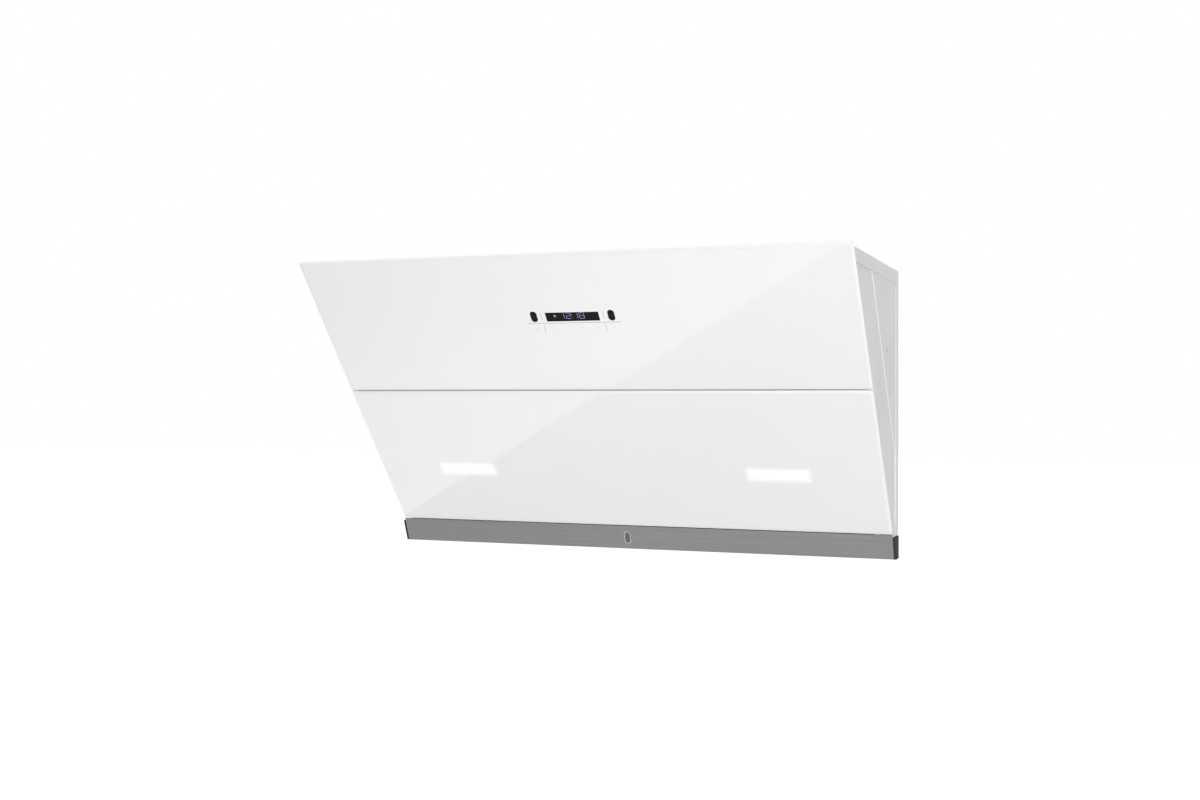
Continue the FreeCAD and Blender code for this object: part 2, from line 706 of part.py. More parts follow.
def raised_rim(inset):
    """The rim's outline, or the hollow's behind it, drawn in by an inset."""
    top = top_under - inset
    step = triangle_top + inset
    rear = -d.sheet_gauge - inset
    front = inset - d.rim_width
    foot = apron_foot + inset
    slope = edge_depth + inset
    return [
        (sloping_y(slope, top), top),
        (rear, top),
        (rear, foot),
        (front, foot),
        (front, step),
        (sloping_y(slope, step), step),
    ]


side_outline = [
    (sloping_y(edge_depth, top_under), top_under),
    (-d.sheet_gauge, top_under),
    (-d.sheet_gauge, apron_foot),
    (apron_front, apron_foot),
    (apron_front, foot_face),
    (sloping_y(edge_depth, foot_face), foot_face),
]
side_screw_place = (-d.side_screw_back, d.top_rise - d.side_screw_drop)


def mirrored(side, low, high):
    """The span between two distances from the middle, on the left or the right."""
    return (low, high) if side > 0 else (-high, -low)


for side, label in ((-1, "left_side_panel"), (1, "right_side_panel")):
    flange_x = mirrored(side, inner_half - d.flange_width, inner_half)
    side_sheet = fused(
        prism(side_outline, mirrored(side, inner_half, body_half)),
        prism(raised_field(0), mirrored(side, body_half, field_face)),
        prism(raised_rim(0), mirrored(side, body_half, rim_face)),
        box(
            flange_x,
            (sloping_y(lip_inner, top_under) + d.flange_end_gap, -d.flange_end_gap),
            (top_under - d.sheet_gauge, top_under),
        ),
        box(
            flange_x,
            (-2 * d.sheet_gauge, -d.sheet_gauge),
            (foot_face + d.flange_end_gap, top_under - d.flange_end_gap),
        ),
    )
    side_cuts = [
        prism(raised_field(d.sheet_gauge), mirrored(side, inner_half, field_face - d.sheet_gauge)),
        prism(raised_rim(d.sheet_gauge), mirrored(side, inner_half, rim_face - d.sheet_gauge)),
        rod("x", side_screw_place, mirrored(side, field_face - d.sheet_gauge, field_face), screw_hole),
    ]
    for across, back in top_screw_places:
        if across.value * side > 0:
            side_cuts.append(rod("z", (across, back), (top_under - d.sheet_gauge, top_under), screw_hole))
    finish(less(side_sheet, *side_cuts), label, WALL)

# Bottom panel with drain slots over the tray
bottom_sheet = prism(
    [
        (sloping_y(edge_depth, foot_face) + d.sheet_gauge, foot_face),
        (-d.sheet_gauge, foot_face),
        (-d.sheet_gauge, foot_face + d.sheet_gauge),
        (sloping_y(edge_depth, foot_face) + d.sheet_gauge, foot_face + d.sheet_gauge),
    ],
    (-inner_half, inner_half),
)
drain_back = strip_back - d.drain_inset
drains = [
    box(
        (step * d.drain_spacing - d.drain_length / 2, step * d.drain_spacing + d.drain_length / 2),
        (-drain_back - d.drain_width / 2, d.drain_width / 2 - drain_back),
        (foot_face, foot_face + d.sheet_gauge),
    )
    for step in (-1, 0, 1)
]
finish(less(bottom_sheet, *drains), "bottom_panel", WALL)

# Upper front plate, bonded behind the upper glass and folded into a roof over the intake
control_half = d.control_width / 2
control_top = d.control_drop - d.control_height / 2
control_foot = d.control_drop + d.control_height / 2
tab_half = inner_half - d.sheet_gauge
tab_y = (edge_depth, edge_depth + d.plate_tab_depth)
tab_z = (d.plate_tab_gap - cheek_top, -d.plate_tab_top)
front_sheet = fused(
    box((-inner_half, inner_half), (d.glass_thickness, edge_depth), (-roof_drop, -d.plate_top)),
    box((-roof_half, roof_half), (edge_depth, d.intake_depth), (-roof_drop, d.sheet_gauge - roof_drop)),
    box((tab_half, inner_half), tab_y, tab_z),
    box((-inner_half, -tab_half), tab_y, tab_z),
)
control_hole = box(
    (-control_half - d.control_clearance, control_half + d.control_clearance),
    (d.glass_thickness, edge_depth),
    (-control_foot - d.control_clearance, d.control_clearance - control_top),
)
finish(less(front_sheet, control_hole), "upper_front_plate", FRONT)

# Intake panel with the air opening and the keeper of the filter latch
intake_rear = d.intake_depth + d.sheet_gauge
intake_end = (
    d.body_height - d.sheet_gauge + d.intake_depth * sine(front_tilt)
) / cosine(front_tilt)
filter_top = intake_top - d.filter_border
filter_foot = intake_foot + d.filter_border
filter_face = d.intake_depth - d.filter_depth
latch_back = filter_face - d.latch_clearance
latch_face = latch_back - d.latch_thickness
latch_top = filter_top - d.latch_reach
keeper_half = d.keeper_width / 2
keeper_back = latch_face - d.keeper_lip_gap
keeper_face = keeper_back - d.keeper_lip_thickness
keeper_foot = latch_top - d.keeper_gap
keeper_top = keeper_foot - d.keeper_post
intake_half = d.intake_width / 2
intake_sheet = fused(
    box((-room_half, room_half), (d.intake_depth, intake_rear), (-intake_end, d.sheet_gauge - roof_drop)),
    box((-keeper_half, keeper_half), (keeper_face, d.intake_depth), (-keeper_foot, -keeper_top)),
    box((-keeper_half, keeper_half), (keeper_face, keeper_back), (-latch_top - d.keeper_grip, -keeper_top)),
)
air_opening = box((-intake_half, intake_half), (d.intake_depth, intake_rear), (-intake_foot, -intake_top))
finish(less(intake_sheet, air_opening), "intake_panel", FRONT)

# Upper glass with its flush windows
display_half = d.display_width / 2
display_rise = d.display_height / 2
display_top = display_rise - d.display_drop
display_foot = -d.display_drop - display_rise
glass_span = (0, d.glass_thickness)
insert_span = (d.insert_recess, d.glass_thickness)
upper_windows = [
    box(
        (-display_half - d.insert_clearance, display_half + d.insert_clearance),
        glass_span,
        (display_foot - d.insert_clearance, display_top + d.insert_clearance),
    )
]
for side in (-1, 1):
    upper_windows.append(
        pill(
            side * d.sensor_offset,
            -d.sensor_drop,
            d.sensor_width + 2 * d.insert_clearance,
            d.sensor_height + 2 * d.insert_clearance,
            glass_span,
        )
    )
finish(less(bevelled_glass(as_size(0), d.upper_glass_height), *upper_windows), "upper_glass", FRONT)

display_corner = (-display_half, d.insert_recess, display_foot)
display_block = box((-display_half, display_half), insert_span, (display_foot, display_top))
display_block.Label = "display_window"
FRONT.place(display_block, *display_corner)
NODES.append(display_block)
for side, label in ((-1, "left_sensor_window"), (1, "right_sensor_window")):
    lens = pill(side * d.sensor_offset, -d.sensor_drop, d.sensor_width, d.sensor_height, insert_span)
    finish(lens, label, FRONT)

# Control housing and board behind the glass
case_rear = d.glass_thickness + d.control_depth
case_floor = case_rear - d.control_wall
board_rear = case_floor - d.control_post_height
board_face = board_rear - d.board_thickness
case_inner_half = control_half - d.control_wall
case_inner_x = (-case_inner_half, case_inner_half)
case_inner_top = control_top + d.control_wall
case_inner_foot = control_foot - d.control_wall
post_half = case_inner_half - d.control_post_inset
posts = [
    rod("y", (side * post_half, level), (board_rear, case_floor), d.control_post_radius)
    for side in (-1, 1)
    for level in (-case_inner_top - d.control_post_inset, d.control_post_inset - case_inner_foot)
]
control_shell = less(
    box((-control_half, control_half), (d.glass_thickness, case_rear), (-control_foot, -control_top)),
    box(case_inner_x, (d.glass_thickness, case_floor), (-case_inner_foot, -case_inner_top)),
)
finish(fused(control_shell, *posts), "control_housing", FRONT)

board_half = case_inner_half - d.board_margin
digits_half = display_half - d.digits_margin
digits_rise = display_rise - d.digits_margin / 2
eye_face = d.glass_thickness + d.eye_gap
eyes = [
    rod("y", (side * d.sensor_offset, -d.sensor_drop), (eye_face, board_face), d.eye_radius)
    for side in (-1, 1)
]
control_board = fused(
    box(
        (-board_half, board_half),
        (board_face, board_rear),
        (d.board_margin - case_inner_foot, -case_inner_top - d.board_margin),
    ),
    box(
        (-digits_half, digits_half),
        (d.glass_thickness + d.digits_gap, board_face),
        (-d.display_drop - digits_rise, digits_rise - d.display_drop),
    ),
    *eyes,
)
finish(control_board, "control_board", FRONT)

# Lower glass, with a window for each lamp
frame_face = d.glass_thickness
frame_rear = frame_face + d.frame_depth
lamp_windows = [
    rounded_block(
        side * d.lamp_offset,
        -lamp_drop,
        d.lamp_width,
        d.lamp_height,
        d.lamp_corner,
        glass_span,
    )
    for side in (-1, 1)
]
finish(less(bevelled_glass(-lower_top, lower_foot - lower_top), *lamp_windows), "lower_glass", FRONT)

# Flap frame, a shallow pan bonded behind the lower glass, and its cover
frame_top = lower_top + d.frame_top_margin
frame_foot = lower_foot - d.frame_foot_margin
frame_base = frame_face + d.frame_wall
lamp_case_half = d.lamp_width / 2 + d.lamp_case_margin + d.lamp_case_wall
lamp_case_rise = d.lamp_height / 2 + d.lamp_case_margin + d.lamp_case_wall
pan_inner_x = (d.frame_wall - frame_half, frame_half - d.frame_wall)
pan_inner_z = (d.frame_wall - frame_foot, -frame_top - d.frame_wall)
pan_cuts = [box(pan_inner_x, (frame_base, frame_rear), pan_inner_z)]
for side in (-1, 1):
    reach = lamp_case_half + d.lamp_case_clearance
    rise = lamp_case_rise + d.lamp_case_clearance
    pan_cuts.append(
        box(
            (side * d.lamp_offset - reach, side * d.lamp_offset + reach),
            (frame_face, frame_base),
            (-lamp_drop - rise, rise - lamp_drop),
        )
    )
pan = box((-frame_half, frame_half), (frame_face, frame_rear), (-frame_foot, -frame_top))
finish(less(pan, *pan_cuts), "flap_frame", FRONT)

cover_block = box(pan_inner_x, (frame_rear - d.cover_thickness, frame_rear), pan_inner_z)
cover_block.Label = "flap_inner_cover"
FRONT.place(cover_block, pan_inner_x[0], frame_rear - d.cover_thickness, pan_inner_z[0])
NODES.append(cover_block)

# Lamps of the flap
lamp_case_rear = frame_face + d.lamp_case_depth
lamp_floor = lamp_case_rear - d.lamp_case_wall
lamp_boards = []
for side, word in ((-1, "left"), (1, "right")):
    middle = side * d.lamp_offset
    lens = rounded_block(
        middle,
        -lamp_drop,
        d.lamp_width - 2 * d.insert_clearance,
        d.lamp_height - 2 * d.insert_clearance,
        d.lamp_corner,
        (d.insert_recess, d.lens_depth),
    )
    finish(lens, f"{word}_lamp_lens", FRONT)
    cavity_half = lamp_case_half - d.lamp_case_wall
    cavity_rise = lamp_case_rise - d.lamp_case_wall
    rim_half = lamp_case_half + d.lamp_flange
    rim_rise = lamp_case_rise + d.lamp_flange
    case = fused(
        box(
            (middle - lamp_case_half, middle + lamp_case_half),
            (frame_face, lamp_case_rear),
            (-lamp_drop - lamp_case_rise, lamp_case_rise - lamp_drop),
        ),
        box(
            (middle - rim_half, middle + rim_half),
            (frame_base, frame_base + d.lamp_flange_thickness),
            (-lamp_drop - rim_rise, rim_rise - lamp_drop),
        ),
    )
    cavity = box(
        (middle - cavity_half, middle + cavity_half),
        (frame_face, lamp_floor),
        (-lamp_drop - cavity_rise, cavity_rise - lamp_drop),
    )
    finish(less(case, cavity), f"{word}_lamp_housing", FRONT)
    lamp_boards.append(
        box(
            (middle - cavity_half + d.board_margin, middle + cavity_half - d.board_margin),
            (lamp_floor - d.board_thickness, lamp_floor),
            (d.board_margin - lamp_drop - cavity_rise, cavity_rise - d.board_margin - lamp_drop),
        )
    )
finish(group(*lamp_boards), "lamp_boards", FRONT)

# Hinge arms, brackets, left pin with its bush, right drive shaft with its motor
hinge = (d.hinge_depth, -hinge_drop)
cheek_outer = inner_half - d.cheek_thickness
cheek_inner = cheek_outer - d.cheek_spacing
bracket_inner = cheek_inner - d.cheek_thickness
neck_top = hinge_drop + d.arm_turn
arm_foot_top = lower_top + d.arm_foot_margin
arm_foot_end = arm_foot_top + d.arm_foot_length
arm_points = [
    (d.hinge_depth - d.arm_boss, d.arm_boss - hinge_drop),
    (d.hinge_depth + d.arm_boss, d.arm_boss - hinge_drop),
    (d.arm_back, d.arm_boss - neck_top),
    (d.arm_back, d.arm_corner - arm_foot_end),
    (d.arm_back - d.arm_corner, -arm_foot_end),
    (d.arm_foot_depth, -arm_foot_end),
    (d.arm_foot_depth, -arm_foot_top),
    (d.arm_front, -arm_foot_top),
    (d.arm_front, -neck_top),
    (d.hinge_depth - d.arm_boss, -hinge_drop - d.arm_boss),
]
hub_span = (cheek_inner + d.hub_end_gap, cheek_outer - d.hub_end_gap)
pin_hole = d.hinge_radius + d.hinge_clearance
for side, word in ((-1, "left"), (1, "right")):
    arm_span = mirrored(side, frame_half, frame_half + d.arm_thickness)
    arm = less(prism(arm_points, arm_span), rod("x", hinge, arm_span, d.hub_radius + d.seat_clearance))
    finish(arm, f"{word}_hinge_arm", FRONT)
    outer_span = mirrored(side, cheek_outer, inner_half)
    inner_span = mirrored(side, bracket_inner, cheek_inner)
    bracket_span = mirrored(side, bracket_inner, inner_half)
    cheek_z = (-cheek_foot, -cheek_top)
    bracket = fused(
        box(outer_span, (d.cheek_front, d.cheek_back), cheek_z),
        box(inner_span, (d.cheek_front, d.cheek_back), cheek_z),
        box(bracket_span, (d.cheek_back - d.cheek_thickness, d.cheek_back), cheek_z),
    )
    bracket_hole = rod("x", hinge, bracket_span, pin_hole)
    finish(less(bracket, bracket_hole), f"{word}_hinge_bracket", FRONT)

left_pin = fused(
    rod("x", hinge, (-inner_half, -bracket_inner), d.hinge_radius),
    rod("x", hinge, (-bracket_inner, d.pin_head_height - bracket_inner), d.pin_head_radius),
)
finish(left_pin, "left_hinge_pin", FRONT)
left_bush = less(
    rod("x", hinge, (-hub_span[1], -hub_span[0]), d.hub_radius),
    rod("x", hinge, (-hub_span[1], -hub_span[0]), pin_hole),
)
finish(left_bush, "left_hinge_bush", FRONT)
drive_shaft = fused(
    rod("x", hinge, (bracket_inner - d.shaft_grip, inner_half), d.hinge_radius),
    rod("x", hinge, hub_span, d.hub_radius),
)
finish(drive_shaft, "drive_shaft", FRONT)

gearbox_middle = (d.hinge_depth + d.gearbox_offset, -hinge_drop)
gearbox_start = bracket_inner - d.gearbox_length
gear_motor = less(
    fused(
        rod("x", gearbox_middle, (gearbox_start, bracket_inner), d.gearbox_radius),
        rod("x", gearbox_middle, (gearbox_start - d.rotor_length, gearbox_start), d.rotor_radius),
    ),
    rod("x", hinge, (bracket_inner - d.shaft_grip - d.hub_end_gap, bracket_inner), pin_hole),
)
finish(gear_motor, "flap_motor", FRONT)

bumper_span = (frame_rear + d.bumper_gap, d.intake_depth)
bumper_offset = inner_half - d.bumper_inset
bumper_drop = lower_foot - d.bumper_rise
bumpers = [
    rod("y", (side * bumper_offset, -bumper_drop), bumper_span, d.bumper_radius)
    for side in (-1, 1)
]
finish(group(*bumpers), "flap_bumpers", FRONT)

# Filter frame with latch guides, baffles and sliding latch
filter_half = intake_half + d.filter_border
latch_half = d.latch_width / 2
guide_start = latch_half + d.latch_clearance
guide_end = guide_start + d.guide_width
guide_face = latch_face - d.latch_clearance - d.guide_lip_thickness
guide_z = (-intake_top, -filter_top)
latch_foot = latch_top + d.latch_length
frame_parts = [box((-filter_half, filter_half), (filter_face, d.intake_depth), (-filter_foot, -filter_top))]
for side in (-1, 1):
    frame_parts.append(box(mirrored(side, guide_start, guide_end), (guide_face, filter_face), guide_z))
    frame_parts.append(
        box(
            mirrored(side, latch_half - d.guide_lip, guide_end),
            (guide_face, guide_face + d.guide_lip_thickness),
            guide_z,
        )
    )
filter_hole = box((-intake_half, intake_half), (filter_face, d.intake_depth), (-intake_foot, -intake_top))
finish(less(fused(*frame_parts), filter_hole), "filter_frame", FRONT)

grip_half = d.latch_grip_width / 2
grip_foot = latch_foot - d.latch_clearance
latch = fused(
    box((-latch_half, latch_half), (latch_face, latch_back), (-latch_foot, -latch_top)),
    box(
        (-grip_half, grip_half),
        (latch_face - d.latch_grip_height, latch_face),
        (-grip_foot, d.latch_grip_length - grip_foot),
    ),
)
finish(latch, "filter_latch", FRONT)


def baffle(middle, face, way):
    """One folded slat of the filter, its lips turned inwards or outwards."""
    half = d.baffle_width.value / 2
    gauge = d.baffle_gauge.value
    length = intake_foot.value - intake_top.value
    low = -intake_foot.value
    depth = d.baffle_height.value
    block = Part.makeBox(2 * half, depth, length, V(middle - half, face, low))
    inner = face + gauge if way > 0 else face
    bay = half - gauge
    hollow = Part.makeBox(2 * bay, depth - gauge, length, V(middle - bay, inner, low))
    return block.cut(hollow)


front_count = int(round(d.baffle_count.value))
pitch = d.intake_width.value / front_count
front_row = filter_face.value + d.baffle_margin.value
rear_row = d.intake_depth.value - d.baffle_margin.value - d.baffle_height.value
slats = [baffle((index + 0.5) * pitch - intake_half.value, front_row, 1) for index in range(front_count)]
slats += [baffle((index + 1) * pitch - intake_half.value, rear_row, -1) for index in range(front_count - 1)]
baffles = doc.addObject("Part::Feature", "Baffles")
baffles.Shape = Part.makeCompound(slats)
finish(baffles, "filter_baffles", FRONT)

# Duct collar with the damper axle and its two flaps
tube_inner = d.collar_radius - d.collar_wall
stop_inner = tube_inner - d.damper_stop_width
stop_top = -d.damper_drop - d.damper_thickness / 2 - d.damper_stop_gap
stop_foot = stop_top - d.collar_wall
collar_tube = turned(
    [
        (tube_inner, -d.collar_depth),
        (d.collar_radius, -d.collar_depth),
        (d.collar_radius, 0),
        (d.collar_flange_radius, 0),
        (d.collar_flange_radius, d.collar_wall),
        (d.collar_radius, d.collar_wall),
        (d.collar_radius, d.collar_height),
        (tube_inner, d.collar_height),
        (tube_inner, stop_top),
        (stop_inner, stop_top),
        (stop_inner, stop_foot),
        (tube_inner, stop_foot),
    ]
)
axle_span = (-d.collar_radius, d.collar_radius)
collar_cuts = [rod("x", (as_size(0), -d.damper_drop), axle_span, d.damper_axle_radius + d.damper_clearance)]
for across, back in collar_screw_places:
    collar_cuts.append(rod("z", (across, back + d.collar_setback), (0, d.collar_wall), screw_hole))
finish(less(collar_tube, *collar_cuts), "duct_collar", COLLAR)

axle = rod("x", (as_size(0), as_size(0)), axle_span, d.damper_axle_radius)
axle.Label = "damper_axle"
DAMPER.place(axle, axle_span[0])
NODES.append(axle)

damper_radius = tube_inner - d.damper_edge_gap
damper_rise = d.damper_thickness / 2
knuckle_bore = d.damper_axle_radius + d.damper_clearance
DAMPER_FLAPS = ((-1, "front_damper_flap", d.knuckle_inner), (1, "rear_damper_flap", d.knuckle_outer))
for side, label, middle in DAMPER_FLAPS:
    half_disc = shared(
        rod("z", (as_size(0), as_size(0)), (-damper_rise, damper_rise), damper_radius),
        box(
            (-damper_radius, damper_radius),
            mirrored(side, d.damper_middle_gap, damper_radius),
            (-damper_rise, damper_rise),
        ),
    )
    pieces = [half_disc]
    bores = []
    for hand in (-1, 1):
        span = (hand * middle - d.knuckle_length / 2, hand * middle + d.knuckle_length / 2)
        pieces.append(rod("x", (as_size(0), as_size(0)), span, d.damper_knuckle_radius))
        pieces.append(box(span, mirrored(side, as_size(0), d.damper_middle_gap), (-damper_rise, damper_rise)))
        bores.append(rod("x", (as_size(0), as_size(0)), span, knuckle_bore))
    finish(less(fused(*pieces), *bores), label, DAMPER)


# Volute of four quarter arcs, its cover, and the transition to the round collar
def scroll_wire(inset):
    """The scroll's outline in the XZ plane round the fan axis, set in by the sheet's thickness."""
    step = d.scroll_step.value
    start = d.scroll_start_radius.value - inset
    tongue = d.tongue_offset.value + inset
    rise = d.scroll_rise.value
    half = step / 2
    arcs = []
    centres = ((-half, -half), (half, -half), (half, half))
    for quarter, (x, z) in enumerate(centres):
        radius = start + quarter * step
        angles = [math.radians(90 * (quarter + 1) + turn) for turn in (0, 45, 90)]
        marks = [V(x + radius * math.cos(angle), 0, z + radius * math.sin(angle)) for angle in angles]
        arcs.append(Part.Arc(*marks).toShape())
    first = arcs[0].Vertexes[0].Point
    last = arcs[-1].Vertexes[-1].Point
    corners = [last, V(last.x, 0, rise), V(tongue, 0, rise), V(tongue, 0, first.z), first]
    lines = [Part.makeLine(one, two) for one, two in zip(corners, corners[1:])]
    return Part.Wire(arcs + lines), last.x


gauge = d.sheet_gauge.value
volute_depth = d.volute_depth.value
outer_wire, outlet_right = scroll_wire(0)
inner_wire = scroll_wire(gauge)[0]
solid_scroll = Part.Face(outer_wire).extrude(V(0, gauge - volute_depth, 0))
hollow_scroll = Part.Face(inner_wire).extrude(V(0, -volute_depth, 0))
hollow_scroll.translate(V(0, -gauge, 0))
volute = doc.addObject("Part::Feature", "Volute")
volute.Shape = solid_scroll.cut(hollow_scroll)
finish(volute, "volute_housing", FAN)

cover_face = Part.Face(outer_wire).extrude(V(0, -gauge, 0))
cover_face.translate(V(0, gauge - volute_depth, 0))
inlet = d.inlet_radius.value
bell = d.bell_radius.value
mouth_y = gauge - volute_depth
bell_end = mouth_y - gauge - d.bell_height.value
bell_profile = Part.makePolygon(
    [
        V(inlet, mouth_y, 0),
        V(inlet + gauge, mouth_y, 0),
        V(inlet + gauge, mouth_y - gauge, 0),
        V(bell + gauge, bell_end, 0),
        V(bell, bell_end, 0),
        V(inlet, mouth_y - gauge, 0),
        V(inlet, mouth_y, 0),
    ]
)
bell_ring = Part.Face(bell_profile).revolve(V(0, 0, 0), V(0, 1, 0), 360)
inlet_hole = Part.makeCylinder(inlet, gauge, V(0, mouth_y, 0), V(0, -1, 0))
cover_plate = doc.addObject("Part::Feature", "VoluteCover")
cover_plate.Shape = cover_face.cut(inlet_hole).fuse(bell_ring).removeSplitter()
finish(cover_plate, "volute_cover", FAN)


def outlet_wire(inset, level, left, right):
    corners = [
        V(right - inset, -inset, level),
        V(left + inset, -inset, level),
        V(left + inset, inset - volute_depth, level),
        V(right - inset, inset - volute_depth, level),
    ]
    edges = [Part.makeLine(corners[index], corners[(index + 1) % 4]) for index in range(4)]
    return Part.Wire(edges)


def collar_wire(radius, level):
    middle = V(-d.fan_offset.value, d.volute_setback.value - d.collar_setback.value, level)
    edges = []
    for quarter in range(4):
        angles = [math.radians(45 + 90 * quarter + turn) for turn in (0, 45, 90)]
        marks = [middle + V(radius * math.cos(angle), radius * math.sin(angle), 0) for angle in angles]
        edges.append(Part.Arc(*marks).toShape())
    return Part.Wire(edges)


collar_level = d.fan_drop.value - d.top_drop.value - d.collar_depth.value
outlet_level = d.scroll_rise.value
tongue_left = d.tongue_offset.value


def flue_solid(inset, radius):
    """The square-to-round solid between the scroll's outlet and the collar."""
    square = outlet_wire(inset, outlet_level, tongue_left, outlet_right)
    return Part.makeLoft([square, collar_wire(radius, collar_level)], True, True)


flue = doc.addObject("Part::Feature", "Transition")
flue.Shape = flue_solid(0, d.collar_radius.value).cut(flue_solid(gauge, tube_inner.value))
finish(flue, "outlet_transition", FAN)

# Fan motor, shaft and impeller, turned round Z and laid along Y
FACING = FreeCAD.Rotation(V(1, 0, 0), 90)


def face_forward(feature, label, back):
    """Lays a part that was turned round Z along the fan axis, at a distance from the volute's rear."""
    feature.Label = label
    feature.Placement = FreeCAD.Placement(V(0, 0, 0), FACING)
    for axis, size in zip("xyz", FAN.point(0, -back, 0)):
        bind(feature, f"Placement.Base.{axis}", size)
    NODES.append(feature)


motor_end = d.motor_flange_thickness + d.motor_length
nose_end = motor_end + d.motor_nose_length
shaft_bore = d.fan_shaft_radius + d.fan_shaft_clearance
bore_start = nose_end - d.motor_bore_depth
fan_motor = turned(
    [
        (0, 0),
        (d.motor_flange_radius, 0),
        (d.motor_flange_radius, d.motor_flange_thickness),
        (d.motor_radius, d.motor_flange_thickness),
        (d.motor_radius, motor_end),
        (d.motor_nose_radius, motor_end),
        (d.motor_nose_radius, nose_end),
        (shaft_bore, nose_end),
        (shaft_bore, bore_start),
        (0, bore_start),
    ]
)
face_forward(fan_motor, "fan_motor", d.sheet_gauge)

shaft_start = bore_start + d.hub_end_gap
fan_shaft = turned(
    [
        (0, shaft_start),
        (d.fan_shaft_radius, shaft_start),
        (d.fan_shaft_radius, shaft_start + d.fan_shaft_length),
        (0, shaft_start + d.fan_shaft_length),
    ]
)
face_forward(fan_shaft, "fan_shaft", d.sheet_gauge)

hub_start = nose_end + d.hub_gap
disc_end = hub_start + d.impeller_sheet
blade_root = d.impeller_radius - d.blade_depth
hub_bore = d.fan_shaft_radius + d.hub_fit
impeller = turned(
    [
        (hub_bore, hub_start),
        (d.impeller_radius, hub_start),
        (d.impeller_radius, disc_end),
        (d.hub_outer_radius, disc_end),
        (d.hub_outer_radius, hub_start + d.hub_length),
        (hub_bore, hub_start + d.hub_length),
    ]
)
tip_start = d.blade_sweep
tip_end = d.blade_sweep + d.blade_angle_width
blade_outline = outline(
    impeller,
    "XY_Plane",
    [
        (blade_root, 0),
        (d.impeller_radius * cosine(tip_start), d.impeller_radius * sine(tip_start)),
        (d.impeller_radius * cosine(tip_end), d.impeller_radius * sine(tip_end)),
        (blade_root * cosine(d.blade_angle_width), blade_root * sine(d.blade_angle_width)),
    ],
    d.impeller_rear,
)
blade = padded(impeller, blade_outline, d.impeller_width)
blades = impeller.newObject("PartDesign::PolarPattern", "Blades")
blades.Originals = [blade]
blades.Axis = (blade_outline, ["N_Axis"])
blades.Angle = 360
bind(blades, "Occurrences", d.blade_count)
impeller.Tip = blades
for level in (d.impeller_rear, d.impeller_rear + d.impeller_width - d.impeller_sheet):
    ring_outline = outline(
        impeller,
        "XZ_Plane",
        [
            (blade_root, level),
            (d.impeller_radius, level),
            (d.impeller_radius, level + d.impeller_sheet),
            (blade_root, level + d.impeller_sheet),
        ],
        0,
    )
    ring = impeller.newObject("PartDesign::Revolution", "Ring")
    ring.Profile = ring_outline
    ring.ReferenceAxis = (ring_outline, ["V_Axis"])
    ring.Angle = 360
    impeller.Tip = ring
face_forward(impeller, "impeller", d.sheet_gauge)

# Power box with its board and lid, and the run capacitor, on the back panel
power_left = d.power_box_left
power_right = power_left + d.power_box_width
power_top = d.top_rise - d.power_box_drop
power_foot = power_top - d.power_box_height
power_face = -d.sheet_gauge - d.power_box_depth
power_floor = -d.sheet_gauge - d.power_box_wall
power_x = (power_left + d.power_box_wall, power_right - d.power_box_wall)
power_z = (power_foot + d.power_box_wall, power_top - d.power_box_wall)
power_board_back = power_floor - d.power_post_height
power_board_face = power_board_back - d.board_thickness
power_posts = [
    rod("y", (across, level), (power_board_back, power_floor), d.control_post_radius)
    for across in (power_x[0] + d.power_post_inset, power_x[1] - d.power_post_inset)
    for level in (power_z[0] + d.power_post_inset, power_z[1] - d.power_post_inset)
]
power_shell = less(
    box((power_left, power_right), (power_face, -d.sheet_gauge), (power_foot, power_top)),
    box(power_x, (power_face, power_floor), power_z),
)
finish(fused(power_shell, *power_posts), "power_box", WALL)
lid_y = (power_face - d.power_box_wall, power_face)
power_lid = box((power_left, power_right), lid_y, (power_foot, power_top))
power_lid.Label = "power_box_lid"
NODES.append(power_lid)
relay_x = (power_x[0] + power_x[1]) / 2
relay_z = (power_z[0] + power_z[1]) / 2
power_board = fused(
    box(
        (power_x[0] + d.board_margin, power_x[1] - d.board_margin),
        (power_board_face, power_board_back),
        (power_z[0] + d.board_margin, power_z[1] - d.board_margin),
    ),
    box(
        (relay_x - d.relay_width / 2, relay_x + d.relay_width / 2),
        (power_board_face - d.relay_height, power_board_face),
        (relay_z - d.relay_length / 2, relay_z + d.relay_length / 2),
    ),
)
finish(power_board, "power_board", WALL)

capacitor_z = d.top_rise - d.capacitor_drop
capacitor_middle = d.capacitor_left + d.capacitor_length / 2
capacitor_span = (d.capacitor_left, d.capacitor_left + d.capacitor_length)
capacitor = fused(
    rod("x", (-d.capacitor_back, capacitor_z), capacitor_span, d.capacitor_radius),
    box(
        (capacitor_middle - d.capacitor_foot / 2, capacitor_middle + d.capacitor_foot / 2),
        (-d.capacitor_back, -d.sheet_gauge),
        (capacitor_z - d.capacitor_foot_height / 2, capacitor_z + d.capacitor_foot_height / 2),
    ),
)
finish(capacitor, "run_capacitor", WALL)

# Cord gland in the top panel
gland = turned(
    [
        (d.gland_bore, -d.sheet_gauge - d.gland_nut_height),
        (d.gland_radius, -d.sheet_gauge - d.gland_nut_height),
        (d.gland_radius, -d.sheet_gauge),
        (d.gland_stem, -d.sheet_gauge),
        (d.gland_stem, 0),
        (d.gland_radius, 0),
        (d.gland_radius, d.gland_height),
        (d.gland_bore, d.gland_height),
    ]
)
finish(gland, "cord_gland", Frame(d.gland_offset, -d.gland_setback, top_face))


# Inner cables from the power box to the control housing, the flap motor and the fan
def number_point(point):
    return V(*(as_size(value).value for value in point))


